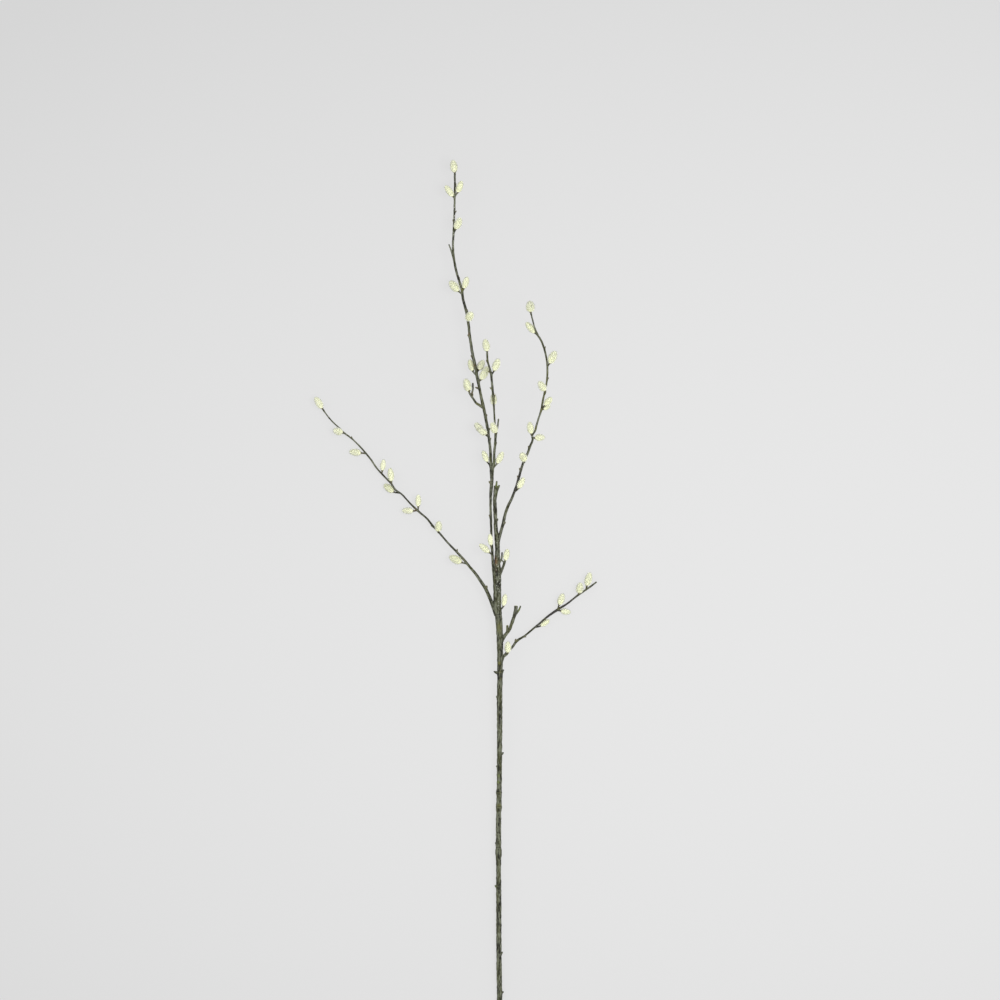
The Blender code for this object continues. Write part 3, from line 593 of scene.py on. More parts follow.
def nearest_on(rows, point, flat=False):
    """Gap, place, radius, direction and distance of a route's nearest place; flat looks from above."""
    best = None
    gone = 0.0
    for start, end in zip(rows, rows[1:]):
        a = Vector(start[:3])
        b = Vector(end[:3])
        span = b - a
        reach = Vector(point) - a
        run, out = (span.xy, reach.xy) if flat else (span, reach)
        share = min(max(run.dot(out) / run.length_squared, 0.0), 1.0)
        place = a + span * share
        away = place - Vector(point)
        gap = away.xy.length if flat else away.length
        if best is None or gap < best[0]:
            radius = start[3] + (end[3] - start[3]) * share
            best = (gap, place, radius, span.normalized(), gone + span.length * share)
        gone += span.length
    return best


def side_angle(along, outward):
    """The angle round a route at which a direction leaves it."""
    across = along.cross(Vector((0.0, 0.0, 1.0))).normalized()
    up = across.cross(along)
    return math.atan2(outward.dot(up), outward.dot(across))


def pointing(heading, pitch):
    turn = math.radians(heading)
    rise = math.radians(pitch)
    return Vector((math.cos(rise) * math.cos(turn), math.cos(rise) * math.sin(turn), math.sin(rise)))


STALK_BACK = 3.0
STALK_RUNS = (0.0, 1.0, 2.0, 3.0, 4.0)


def stalk_root(shoot, foot, way):
    """The place in a shoot from which a stalk runs straightest to its catkin."""
    _, near, _, along, _ = nearest_on(ROUTES[shoot], foot - way * STALK_BACK)
    spots = [nearest_on(ROUTES[shoot], near - along * run)[1] for run in STALK_RUNS]

    def straightness(spot):
        return (foot - spot).normalized().dot(way) - 0.02 * (near - spot).length

    return max(spots, key=straightness)


# %% Knots on every route
KNOTS = {name: [] for name in ROUTES}
BUDS = []

for child, parent in PARENT.items():
    rows = ROUTES[child]
    _, place, radius, along, reach = nearest_on(ROUTES[parent], rows[1][:3])
    angle = side_angle(along, Vector(rows[2][:3]) - place)
    KNOTS[parent].append((reach, angle, 0.55, rows[0][3] * 2.4, rows[0][3] * 1.3))
for number, tip in enumerate(BUD_TIPS):
    found = min(
        ((name, nearest_on(rows, (*tip, 0.0), flat=True)) for name, rows in ROUTES.items()),
        key=lambda pair: pair[1][0],
    )
    name, (_, place, radius, along, reach) = found
    end = Vector((tip[0], tip[1], place.z))
    angle = side_angle(along, end - place)
    KNOTS[name].append((reach - 2.4, angle, 0.30 + 0.05 * radius, 1.5, 1.2))
    BUDS.append((name, place, radius, along, end))
for shoot, rows in CATKINS.items():
    for row in rows:
        foot = Vector(row[:3])
        way = pointing(row[3], row[4])
        root = stalk_root(shoot, foot, way)
        _, place, radius, along, reach = nearest_on(ROUTES[shoot], root.lerp(foot, 0.35))
        KNOTS[shoot].append((reach - 0.5, side_angle(along, foot - place), 0.38, 1.9, 1.3))
print("knots on each route:", {name: len(found) for name, found in KNOTS.items()})


# %% Mesh with values at its points
def write_values(mesh, name, values):
    """Store one number or one vector at every point of a mesh."""
    values = np.ascontiguousarray(values, dtype=np.float32)
    vector = values.ndim == 2
    store = mesh.attributes.new(name, "FLOAT_VECTOR" if vector else "FLOAT", "POINT")
    store.data.foreach_set("vector" if vector else "value", values.ravel())


def spots_of(mesh):
    """The places of a mesh's points in the frame, one row each."""
    spots = np.empty(len(mesh.vertices) * 3, np.float32)
    mesh.vertices.foreach_get("co", spots)
    return spots.reshape(-1, 3)


def new_piece(name, points, faces, materials, collection=None):
    """A mesh object from points of the lists and faces."""
    mesh = bpy.data.meshes.new(name)
    mesh.from_pydata(in_metres(points).tolist(), [], faces)
    for material in materials:
        mesh.materials.append(material)
    return put(name, mesh, collection)


def put(name, data, collection=None):
    """A new object for a mesh, light or camera, placed in a collection or in the scene's own."""
    piece = bpy.data.objects.new(name, data)
    (collection or bpy.context.scene.collection).objects.link(piece)
    return piece


def new_collection(name):
    made = bpy.data.collections.new(name)
    bpy.context.scene.collection.children.link(made)
    return made


def tube_faces(count, sides, foot, head, foot_slot=0, head_slot=0, slots=None):
    """Faces and material numbers of a tube of rings whose ends close on two single points."""
    faces = []
    kinds = []
    for ring in range(count - 1):
        for side in range(sides):
            beside = (side + 1) % sides
            a = ring * sides
            b = a + sides
            faces.append((a + side, a + beside, b + beside, b + side))
            kinds.append(slots[ring] if slots else 0)
    last = (count - 1) * sides
    for side in range(sides):
        beside = (side + 1) % sides
        faces += [(beside, side, foot), (last + side, last + beside, head)]
        kinds += [foot_slot, head_slot]
    return faces, kinds


# %% The skin of one shoot
END_SHAPES = {
    "tip": ((0.30, 0.94), (0.58, 0.76), (0.78, 0.45), (0.86, 0.0)),
    "cut": ((0.05, 0.96), (0.07, 0.84), (0.05, 0.50), (0.03, 0.18), (-0.02, 0.0)),
    "broken": ((0.12, 0.90), (0.16, 0.66), (0.04, 0.38), (-0.06, 0.0)),
}
BARK_FACE = 0
CUT_FACE = 1
SCALE_FACE = 2
OWN_BARK = 40.0
SCAR_HEIGHT = 1.1


def skin(name, rows, sides, step, end, collection, depth=0.06, knots=(), seed=1, start="sunk", rings=()):
    """A closed tube along a route, with bark relief, knots, ring scars and a shaped end."""
    line, radii, reach = smooth_route(rows, step, rings)
    along, across, up = frames_along(line)
    turn = np.arange(sides) / sides * math.tau
    relief = bark_relief(turn, reach, depth, seed) + swellings(turn, reach, radii, knots)
    scar = ring_scars(turn, reach, rings, 1.0)
    relief += SCAR_HEIGHT * depth * scar
    spoke = np.cos(turn)[None, :, None] * across[:, None] + np.sin(turn)[None, :, None] * up[:, None]
    rings = list(line[:, None] + (radii[:, None] + relief)[..., None] * spoke)
    places = [
        np.stack((np.cos(turn) * r + seed * OWN_BARK, np.sin(turn) * r, 0 * turn + s), axis=-1)
        for r, s in zip(radii, reach)
    ]
    pith = [np.zeros(sides) for _ in radii]
    kinds = [BARK_FACE] * (len(rings) - 1)
    jag = noise_at(np.stack((np.cos(turn) * 2.2 + seed, np.sin(turn) * 2.2, 0 * turn), axis=-1))
    last = rings[-1]
    middle = last.mean(axis=0)
    for forward, share in END_SHAPES[end][:-1]:
        lift = forward + (1.5 * jag[:, None] * share if end == "broken" else 0.0)
        rings.append(middle + (last - middle) * share + along[-1] * radii[-1] * lift)
        places.append(places[-1] * (share, share, 1.0) + (seed * OWN_BARK * (1 - share), 0.0, 0.3))
        pith.append(np.full(sides, 1.0 if share < 0.3 else 0.0))
        kinds.append(BARK_FACE if end == "tip" or share > 0.6 else CUT_FACE)
    points = np.concatenate(rings)
    count = len(rings)
    heads = [line[0], middle + along[-1] * radii[-1] * END_SHAPES[end][-1][0]]
    if start == "cut":
        inner = line[0] + (rings[0] - line[0]) * 0.9 - along[0] * 0.02
        rings[0] = line[0] + (rings[0] - line[0]) * 0.985
        points = np.concatenate([inner] + rings)
        places.insert(0, places[0] * (0.9, 0.9, 1.0))
        pith.insert(0, np.zeros(sides))
        kinds.insert(0, CUT_FACE)
        count += 1
    foot_slot = CUT_FACE if start == "cut" else BARK_FACE
    head_slot = BARK_FACE if end == "tip" else CUT_FACE
    first = len(points)
    faces, slots = tube_faces(count, sides, first, first + 1, foot_slot, head_slot, kinds)
    points = np.concatenate((points, heads))
    piece = new_piece(name, points, faces, WOOD_MATERIALS, collection)
    piece.data.polygons.foreach_set("material_index", slots)
    ends = np.array(((seed * OWN_BARK, 0.0, 0.0), (seed * OWN_BARK, 0.0, reach[-1])))
    write_values(piece.data, "place", np.concatenate(places + [ends]))
    write_values(piece.data, "pith", np.concatenate(pith + [np.ones(2)]))
    write_values(piece.data, "known", np.ones(len(points)))
    rest = np.zeros(len(points) - scar.size)
    before = sides if start == "cut" else 0
    write_values(piece.data, "scar", np.concatenate((rest[:before], scar.ravel(), rest[before:])))
    return piece


# %% Stem, shoots and prongs
STEM_SIDES = 32
SHOOT_SIDES = 18
PRONG_SIDES = 12
RING_STEP = 1.15
SHOOT_STEP = 1.0
ROUTE_END = {"stem": "cut", "stub": "cut"}
BARK_DEPTH = {"stem": 0.22, "stub": 0.17, "leader": 0.13, "fork": 0.13}
RING_SCARS = {
    "stem": (192, 239.5, 291, 309, 460, 531, 625),
    "leader": (138, 158, 196, 268, 300, 384, 458),
    "centre": (18, 52, 97, 130),
    "right": (62, 110, 149, 196, 240),
    "left": (88, 150, 205, 262, 318),
    "low": (32, 66, 102),
    "stub": (20, 36),
    "spur": (12,),
}

growing = new_collection("growing_wood")
stem = skin(
    "wood_fine", ROUTES["stem"], STEM_SIDES, RING_STEP, "cut", bpy.context.scene.collection,
    BARK_DEPTH["stem"], KNOTS["stem"], 1, start="cut", rings=RING_SCARS["stem"],
)
for seed, name in enumerate(PARENT, start=2):
    rows = [list(row) for row in ROUTES[name]]
    rows[0][3] += 0.5
    rows[1][3] += 0.25
    skin(
        "shoot_" + name, rows, SHOOT_SIDES, SHOOT_STEP, ROUTE_END.get(name, "tip"), growing,
        BARK_DEPTH.get(name, 0.085), KNOTS[name], seed, rings=RING_SCARS.get(name, ()),
    )
for number, rows in enumerate(PRONGS):
    skin(f"prong_{number}", rows, PRONG_SIDES, 0.8, "broken", growing, 0.06, (), 20 + number)

# %% [markdown]
# ## Resting buds
# A resting willow bud is one pointed scale pressed against the shoot. A cone would look like a
# thorn. Here the outline swells, then narrows to a bent tip. Buds on the thin shoots have the
# brown of a scale, and those on the old stem are as grey as its bark.

# %% Buds
BUD_SIDES = 10
BUD_OUTLINE = (0.0, 0.10, 0.22, 0.36, 0.52, 0.68, 0.82, 0.93)
BUD_FULLNESS = (0.80, 0.98, 1.10, 1.10, 0.96, 0.72, 0.46, 0.24)


def bent(root, bow, tip, shares, radii):
    """Rows along a line from root to tip that bends towards a third place."""
    rows = []
    for share, radius in zip(shares, radii):
        spot = root * (1 - share) ** 2 + bow * 2 * share * (1 - share) + tip * share**2
        rows.append((*spot, radius))
    return rows


def bud(name, shoot, place, radius, along, end, seed):
    """A bud that grows out of its shoot below its place and ends just past its tip."""
    root = place - along * 2.6
    tip = end + along * 0.4
    bow = root.lerp(tip, 0.5) + (end - place).normalized() * radius * 0.55
    thick = min(radius * 0.74, 1.1 + 0.2 * radius)
    rows = bent(root, bow, tip, BUD_OUTLINE, [thick * full for full in BUD_FULLNESS])
    made = skin(name, rows, BUD_SIDES, 0.6, "tip", growing, 0.02, (), seed)
    if shoot != "stem":
        made.data.polygons.foreach_set("material_index", [SCALE_FACE] * len(made.data.polygons))
    return made


for number, found in enumerate(BUDS):
    bud(f"bud_{number}", *found, 40 + number)
print("buds made:", len(BUDS))

# %% [markdown]
# ## Stalks and bud-scale cups
# Each catkin pushed out of a bud, so it sits on a short stalk, and the old bud scale still clings
# to its base as a thin brown cup with one long lobe. The stalk follows the CAD rows. The cup is
# one closed wall: rings climb its outside to a lobed rim and go down again inside. Separate
# petals would be easier, but they leave gaps where the real scale is one piece.

# %% Stalks and cups
STALK_BEND = 1.9
STALK_TOP = 0.3
STALK_SHARES = (0.0, 0.35, 0.6, 0.8, 1.0)
STALK_RADII = (1.2, 1.0, 0.95, 1.05, 0.9)
SEAT_GAP = 0.3
TIP_NARROWING = 0.16
CUP_SIDES = 20
CUP_FOOT = -1.3
NECK_RADIUS = 0.9
CUP_THICK = 0.30
CUP_LOBE = 1.15
CUP_FLOOR = 0.25
OUTER_STEPS = (0.0, 0.15, 0.32, 0.5, 0.68, 0.85, 1.0)
INNER_STEPS = (0.985, 0.8, 0.58, 0.4)


def egg_radius(reach, length, width):
    """Radius of a catkin's outer form at a distance from its foot, in millimetres."""
    z = np.clip(2 * (reach - SEAT_GAP) / length - 1.0, -1.0, 1.0)
    return width / 2 * (1.0 - TIP_NARROWING * z) * np.sqrt(1.0 - z**2)


def stalk(name, shoot, row, seed):
    foot = Vector(row[:3])
    way = pointing(row[3], row[4])
    root = stalk_root(shoot, foot, way)
    rows = bent(root, foot - way * STALK_BEND, foot - way * STALK_TOP, STALK_SHARES, STALK_RADII)
    return skin(name, rows, PRONG_SIDES, 0.55, "tip", growing, 0.05, (), seed)


def lobed_rim(turn, middle, tall, low, half_turn):
    """Height of a cup's rim round the catkin: one long pointed lobe, one short lobe behind it."""
    gap = np.abs((turn - middle + math.pi) % math.tau - math.pi)
    long_lobe = np.clip(1.0 - gap / half_turn, 0.0, 1.0) ** 0.75
    short_lobe = np.clip(1.0 - np.abs(gap - math.pi) / 0.9, 0.0, 1.0) ** 0.9
    return low + (tall - low) * np.maximum(long_lobe, 0.45 * short_lobe)


def cup(name, row, facing, tall, low, seed):
    """The bud scale round a catkin's base, as one closed wall with a lobed rim."""
    length, width = row[5], row[6]
    way = np.array(pointing(row[3], row[4]))
    foot = np.array(row[:3])
    beside = np.cross(way, facing)
    turn = np.arange(CUP_SIDES) / CUP_SIDES * math.tau
    rim = lobed_rim(turn, 0.0, tall, low, CUP_LOBE) + 0.08 * np.sin(turn * 5 + seed)

    def ring(share, inside):
        lift = CUP_FOOT + (rim - CUP_FOOT) * share
        climb = np.clip((lift - CUP_FOOT) / (1.0 - CUP_FOOT), 0.0, 1.0)
        climb = climb * climb * (3 - 2 * climb)
        round_egg = egg_radius(np.maximum(lift, 0.9), length, width) * 0.95 + 0.05
        radius = NECK_RADIUS * (1 - climb) + round_egg * climb + 0.12 * share**5
        radius = radius + 0.09 * np.exp(-(((turn + math.pi) % math.tau - math.pi) / 0.22) ** 2)
        radius = radius - inside * CUP_THICK * (1.0 - 0.55 * share)
        out = np.cos(turn)[:, None] * facing + np.sin(turn)[:, None] * beside
        return foot + way * lift[:, None] + out * np.maximum(radius, 0.2)[:, None]

    rings = [ring(share, 0.0) for share in OUTER_STEPS] + [ring(share, 1.0) for share in INNER_STEPS]
    points = np.concatenate(rings)
    faces, _ = tube_faces(len(rings), CUP_SIDES, len(points), len(points) + 1)
    points = np.concatenate((points, [foot + way * CUP_FOOT, foot - way * CUP_FLOOR]))
    piece = new_piece(name, points, faces, WOOD_MATERIALS, growing)
    piece.data.polygons.foreach_set("material_index", [SCALE_FACE] * len(faces))
    grid = points - foot
    place = np.stack((grid @ beside + seed * OWN_BARK, grid @ facing, grid @ way), axis=-1)
    write_values(piece.data, "place", place)
    write_values(piece.data, "pith", np.zeros(len(points)))
    write_values(piece.data, "known", np.ones(len(points)))
    return piece


def facing_out(shoot, row, chance):
    """The side of a catkin that faces away from its shoot, square to the catkin."""
    foot = Vector(row[:3])
    way = pointing(row[3], row[4])
    away = foot + way * 3.0 - nearest_on(ROUTES[shoot], foot + way * 3.0)[1]
    away -= way * away.dot(way)
    if away.length < 0.8:
        side = way.orthogonal()
        away = side * chance.choice((-1.0, 1.0)) + way.cross(side) * chance.normal()
    away += Vector(chance.normal(0.0, 0.25, 3))
    away -= way * away.dot(way)
    return np.array(away.normalized())


chance = np.random.default_rng(7)
seed = 100
CUPS = {}
for shoot, rows in CATKINS.items():
    for number, row in enumerate(rows, start=1):
        seed += 1
        stalk(f"stalk_{shoot}_{number}", shoot, row, seed)
        facing = facing_out(shoot, row, chance)
        tall = chance.uniform(0.9, 2.3)
        low = chance.uniform(0.0, 0.4)
        cup(f"cup_{shoot}_{number}", row, facing, tall, low, seed)
        CUPS[f"catkin_{shoot}_{number}"] = (facing, tall, low)

# %% [markdown]
# ## Growing the pieces together
# The real twig is one piece of wood, so a Boolean union joins all these closed tubes. Where two
# of them meet, the union leaves a hard crease, and no crease exists on a living fork. The union's
# new points have no stored value, so they are easy to find, and smoothing them and their
# neighbours a few times rounds the crease like bark.


# %% Join the wood
def join_all(base, others):
    """One union of a base piece with a collection of closed pieces."""
    union = base.modifiers.new("grown together", "BOOLEAN")
    union.operation = "UNION"
    union.solver = "MANIFOLD"
    union.operand_type = "COLLECTION"
    union.collection = others
    union.material_mode = "TRANSFER"
    bpy.context.view_layer.update()
    graph = bpy.context.evaluated_depsgraph_get()
    mesh = bpy.data.meshes.new_from_object(base.evaluated_get(graph))
    base.modifiers.clear()
    base.data = mesh
    for obj in list(others.objects):
        bpy.data.objects.remove(obj, do_unlink=True)
    bpy.data.collections.remove(others)


def round_creases(mesh, weld, times):
    """Weld slivers, then smooth the points on and beside the lines where pieces met."""
    shape = bmesh.new()
    shape.from_mesh(mesh)
    bmesh.ops.remove_doubles(shape, verts=shape.verts, dist=weld * MM)
    bmesh.ops.dissolve_degenerate(shape, edges=shape.edges, dist=weld * MM)
    known = shape.verts.layers.float["known"]
    chosen = [vertex for vertex in shape.verts if vertex[known] < 0.99]
    near = set(chosen)
    for vertex in chosen:
        near.update(edge.other_vert(vertex) for edge in vertex.link_edges)
    for _ in range(times):
        bmesh.ops.smooth_vert(
            shape, verts=list(near), factor=0.5, use_axis_x=True, use_axis_y=True, use_axis_z=True
        )
    shape.to_mesh(mesh)
    shape.free()
    return len(near)


join_all(stem, growing)
rounded = round_creases(stem.data, 0.06, 4)
print("wood faces:", len(stem.data.polygons), "rounded points:", rounded)

# %% [markdown]
# ## Finishing values on the wood
# New points on the creases have no values yet, so each takes the stored place of its nearest neighbour.
# Then the coloured patches are written, most of them spots of the real twig and a few painted
# highlights: each is a place, a reach along and across, and a strength. Last, nothing may sink into the
# table.

# %% Coloured patches as x, y, half width, half length and strength
PATCHES = {
    "grey": (
        (70, 536, 70, 46, 1), (3, 588, 5, 12, 0.7), (-11, 640, 5, 40, 0.5), (-130, 680, 110, 110, 0.6),
        (18, 695, 24, 45, 0.85),
    ),
    "olive": (
        (-0.9, 516, 6, 13, 0.8), (0, 460, 6, 3, 0.7), (-1, 471, 3, 4, 0.9), (0.6, 451, 3, 4, 0.7),
        (0.4, 427, 3, 4, 0.6), (-1.4, 292, 6, 5, 0.8), (-1.2, 309, 6, 2, 0.7), (-1.8, 232, 6, 5, 0.35),
        (-1.5, 120, 6, 60, 0.25), (-1, 380, 6, 50, 0.25), (-47.5, 938, 4, 5, 0.9),
        (-54.6, 1061, 4, 5, 0.8), (-12, 726, 5, 8, 0.6), (-15, 850, 5, 14, 0.6), (-8.3, 800, 4, 6, 0.8),
        (55, 820, 14, 60, 0.7), (-22, 800, 14, 60, 0.5), (51, 787, 5, 6, 0.8), (44.5, 764, 5, 7, 0.8),
        (-28, 795, 9, 6, 0.8), (21, 499, 5, 4, 0.7), (56, 526, 5, 4, 0.6), (73.5, 539, 6, 5, 0.7),
        (106, 564, 5, 5, 0.7), (12, 515, 10, 22, 0.6),
    ),
    "green": (
        (-3.6, 694, 5, 5, 1), (-2.6, 683, 4, 8, 0.8), (-7.5, 722.5, 4, 4, 0.9), (-11.6, 662, 3, 9, 0.6),
        (-7, 780, 3, 9, 0.5), (24, 538, 3.5, 6, 1), (-28, 795, 5, 4, 0.5), (-1.3, 300, 4, 3, 0.5),
        (-2.2, 322, 2.4, 3, 1), (-1.4, 330, 2.4, 3.5, 0.9), (-1, 353, 4, 2, 0.6), (-6, 191, 2.5, 3, 0.9),
        (-1.6, 240.5, 4, 1.6, 0.5),
    ),
    "rust": (
        (-6.2, 603, 3, 4, 0.8), (-4.8, 598, 2.6, 7, 0.95), (-4.6, 587, 1.8, 5, 0.6),
        (-5, 655, 3, 16, 0.35), (-33, 843, 2.5, 3, 0.9), (-39.6, 882, 2.5, 3, 0.9),
        (-35.5, 809, 2.5, 3, 0.8), (-24, 815, 8, 16, 0.3), (-10.5, 700, 4, 5, 0.4),
        (-107, 662, 3.5, 3.5, 0.9), (-47, 598.8, 3.5, 3.5, 0.7), (-147, 711, 3.5, 3.5, 0.7),
        (-136, 698, 3.5, 3.5, 0.7), (-172, 734, 3.5, 3.5, 0.7),
    ),
    # Pale lichen spots. The long narrow streaks on the stem's right side and the patches round the fork are
    # painted highlights.
    "lichen_and_highlight": (
        (-1.6, 584, 4, 26, 0.74), (-2, 545, 4, 16, 0.55), (-56.8, 1030, 6, 45, 0.72),
        (-48, 940, 9, 26, 0.4), (-2.2, 597, 1.6, 2.6, 0.9), (-2.6, 588, 1.4, 3, 0.8),
        (-1.8, 578, 1.6, 4, 0.85), (-3.6, 569, 2, 3, 0.75), (-1, 562, 2, 4, 0.75), (1, 541, 1.5, 5, 0.5),
        (-2.5, 621, 2.6, 3, 0.9), (-5, 640, 1, 2.4, 0.7), (1.6, 425, 1.4, 9, 0.6),
        (1.6, 372, 1.4, 8, 0.6), (1.4, 405, 1.2, 12, 0.5), (1.2, 215, 1.2, 14, 0.45),
        (1.2, 262, 1.2, 16, 0.45), (-14.5, 757, 1.6, 2.4, 0.9), (40.6, 754, 2, 2.4, 0.9),
        (6.5, 647, 1.2, 1.6, 0.8),
    ),
}


def fill_unknown(mesh):
    """Points that the union added copy the stored place of their nearest known point."""
    count = len(mesh.vertices)
    known = np.empty(count, np.float32)
    mesh.attributes["known"].data.foreach_get("value", known)
    places = np.empty(count * 3, np.float32)
    mesh.attributes["place"].data.foreach_get("vector", places)
    places = places.reshape(-1, 3)
    spots = spots_of(mesh)
    tree = kdtree.KDTree(int((known > 0.99).sum()))
    for index in np.flatnonzero(known > 0.99):
        tree.insert(spots[index], int(index))
    tree.balance()
    missing = np.flatnonzero(known <= 0.99)
    for index in missing:
        places[index] = places[tree.find(spots[index])[1]]
    mesh.attributes["place"].data.foreach_set("vector", places.ravel())
    return len(missing)


def write_patches(mesh):
    spots = spots_of(mesh) / MM - BUTT_PLACE
    for name, rows in PATCHES.items():
        total = np.zeros(len(spots))
        for x, y, wide, tall, strength in rows:
            gap = ((spots[:, 0] - x) / wide) ** 2 + ((spots[:, 1] - y) / tall) ** 2
            total = np.maximum(total, strength * np.exp(-gap))
        write_values(mesh, name, total)


def stay_on_table(mesh, lowest=0.0):
    for vertex in mesh.vertices:
        vertex.co.z = max(vertex.co.z, lowest)


print("points filled:", fill_unknown(stem.data))
write_patches(stem.data)
stay_on_table(stem.data)
stem.data.shade_smooth()
stem.data.set_sharp_from_angle(angle=math.radians(60.0))
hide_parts("wood")
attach(stem, "root")
print("wood triangles:", sum(len(face.vertices) - 2 for face in stem.data.polygons))

# %% [markdown]
# ## Catkin materials
# A catkin at this stage is yellow-green scales under silky down. Light passes into the down, so
# it looks whitest where it is longest. The core is pale yellow-green with greener gaps between
# its scales, and each hair runs from yellow-green at its root to nearly white at its tip.


# %% Materials: catkin core and down
def catkin_core():
    made, tree, shader = new_material("catkin_core", 0.85)
    texture = tree.nodes.new("ShaderNodeTexCoord")
    specks = noise_in(tree, texture.outputs["Object"], 900.0, 3.0, 0.6)
    scales = blend(tree, stored(tree, "scale"), (0.860, 0.885, 0.580), (0.920, 0.930, 0.680))
    colour = blend(tree, spread(tree, specks, 0.45, 0.7, 0.0, 0.5), scales, (0.940, 0.945, 0.760))
    tree.links.new(colour, shader.inputs["Base Color"])
    raise_surface(tree, specks, shader, 0.5, 0.2)
    return made


def catkin_down():
    made, tree, shader = new_material("catkin_down", 0.9)
    tone = blend(tree, stored(tree, "tone"), (0.870, 0.895, 0.570), (0.935, 0.948, 0.750))
    colour = blend(tree, spread(tree, stored(tree, "hair"), 0.15, 1.0), tone, (0.960, 0.970, 0.895))
    tree.links.new(colour, shader.inputs["Base Color"])
    return made


CATKIN_MATERIALS = (catkin_core(), catkin_down())
print("catkin materials:", [material.name for material in CATKIN_MATERIALS])

# %% [markdown]
# ## Catkins
# A catkin is an egg-shaped spike of some hundred small scales set in a spiral, each with a tuft
# of silky hairs that lean towards the tip. Hair particles would be the usual tool, but only real
# mesh goes into a library. So each hair is a long thin pyramid of four triangles, and its root
# sits on its own scale. The spiral uses the golden angle, as the plant does.

# %% The core with its scales
CORE_SIDES = 30
CORE_RINGS = 26
CORE_FILL = 0.86
CORE_NARROWING = 0.08
CORE_LENGTH = 0.95
SCALE_COUNT = 112
SCALE_HEIGHT = 0.20
GOLDEN_ANGLE = math.pi * (3.0 - math.sqrt(5.0))


def egg(z, turn, length, width):
    """Points of the core from height z of -1 to 1 and angle, in the catkin's own axes."""
    out = width / 2 * CORE_FILL * (1.0 - CORE_NARROWING * z) * np.sqrt(np.maximum(1.0 - z**2, 0.0))
    up = length * CORE_LENGTH * (z + 1.0) / 2
    return np.stack((out * np.cos(turn), out * np.sin(turn), up), axis=-1)


def egg_axes(z, turn, length, width):
    """Outward, tipward and sideways directions on the core."""
    step = 0.02
    low = egg(np.clip(z - step, -0.999, 0.999), turn, length, width)
    high = egg(np.clip(z + step, -0.999, 0.999), turn, length, width)
    tipward = unit(high - low)
    beside = np.stack((-np.sin(turn), np.cos(turn), 0.0 * turn), axis=-1)
    return unit(np.cross(beside, tipward)), tipward, beside


def scale_spiral(length, width, chance):
    """Height and angle of each scale on the spiral."""
    number = np.arange(SCALE_COUNT)
    z = -0.93 + 1.90 * (number + 0.5) / SCALE_COUNT
    return z, number * GOLDEN_ANGLE + chance.uniform(0.0, math.tau)


def core(length, width, scales):
    """Points, faces and scale values of the core."""
    polar = np.linspace(0.0, math.pi, CORE_RINGS + 1)[1:-1]
    z = np.repeat(-np.cos(polar), CORE_SIDES)
    turn = np.tile(np.arange(CORE_SIDES) / CORE_SIDES * math.tau, CORE_RINGS - 1)
    z = np.concatenate((z, (-1.0, 1.0)))
    turn = np.concatenate((turn, (0.0, 0.0)))
    points = egg(z, turn, length, width)
    centres = egg(*scales, length, width)
    _, tipward, _ = egg_axes(*scales, length, width)
    gaps = points[:, None] - centres[None]
    apart = np.linalg.norm(gaps, axis=-1)
    nearest = apart.argmin(axis=1)
    row = np.arange(len(points))
    size = math.sqrt(length * width * 2.4 / SCALE_COUNT)
    near = np.clip(1.0 - apart[row, nearest] / size, 0.0, 1.0)
    rise = np.einsum("ij,ij->i", gaps[row, nearest], tipward[nearest]) / size
    outward, _, _ = egg_axes(np.clip(z, -0.98, 0.98), turn, length, width)
    lift = SCALE_HEIGHT * (near + 0.8 * np.clip(rise, -0.6, 0.6) * near)
    lift[-2:] = 0.0
    points += outward * lift[:, None]
    low = (CORE_RINGS - 1) * CORE_SIDES
    faces, _ = tube_faces(CORE_RINGS - 1, CORE_SIDES, low, low + 1)
    return points, faces, near


# %% The down
HAIRS_PER_SCALE = 29
HAIR_LENGTH = 2.0
HAIR_RADIUS = 0.0135
HAIR_LEAN = 35.0
TIP_LEAN = 40.0
LOWEST_HAIR = 0.05


def down(length, width, scales, chance, cup_side, tall, low):
    """Roots, tips, directions and outward directions of all hairs of one catkin, in its own axes."""
    z = np.repeat(scales[0], HAIRS_PER_SCALE)
    turn = np.repeat(scales[1], HAIRS_PER_SCALE)
    count = len(z)
    shift_z = chance.normal(0.0, 0.085, count)
    shift_turn = chance.normal(0.0, 0.21, count) / np.sqrt(np.maximum(1.0 - z**2, 0.08))
    z_here = np.clip(z + shift_z, -0.97, 0.985)
    turn_here = turn + shift_turn
    roots = egg(z_here, turn_here, length, width)
    outward, tipward, beside = egg_axes(z_here, turn_here, length, width)
    upright = HAIR_LEAN + TIP_LEAN * np.clip(z_here, 0.0, 1.0) ** 2
    lean = np.radians(upright + 13.0 * chance.normal(size=count))[:, None]
    fan = (1.6 * shift_turn * np.sqrt(1.0 - z**2) + chance.normal(0.0, 0.20, count))[:, None]
    way = unit(tipward * np.cos(lean) + outward * np.sin(lean) + beside * fan)
    size = width / 8.0
    long = HAIR_LENGTH * size * chance.uniform(0.65, 1.15, count)
    long *= 1.0 - 0.35 * np.clip(z_here, 0.0, 1.0)
    long *= np.clip(0.45 + (z_here + 1.0) * 1.6, 0.45, 1.0)
    tips = roots + way * long[:, None]
    around = np.arctan2(roots[:, 1], roots[:, 0])
    free = roots[:, 2] > lobed_rim(around, cup_side, tall, low, CUP_LOBE) - 0.15
    return roots[free] - outward[free] * 0.1, tips[free], way[free], outward[free]


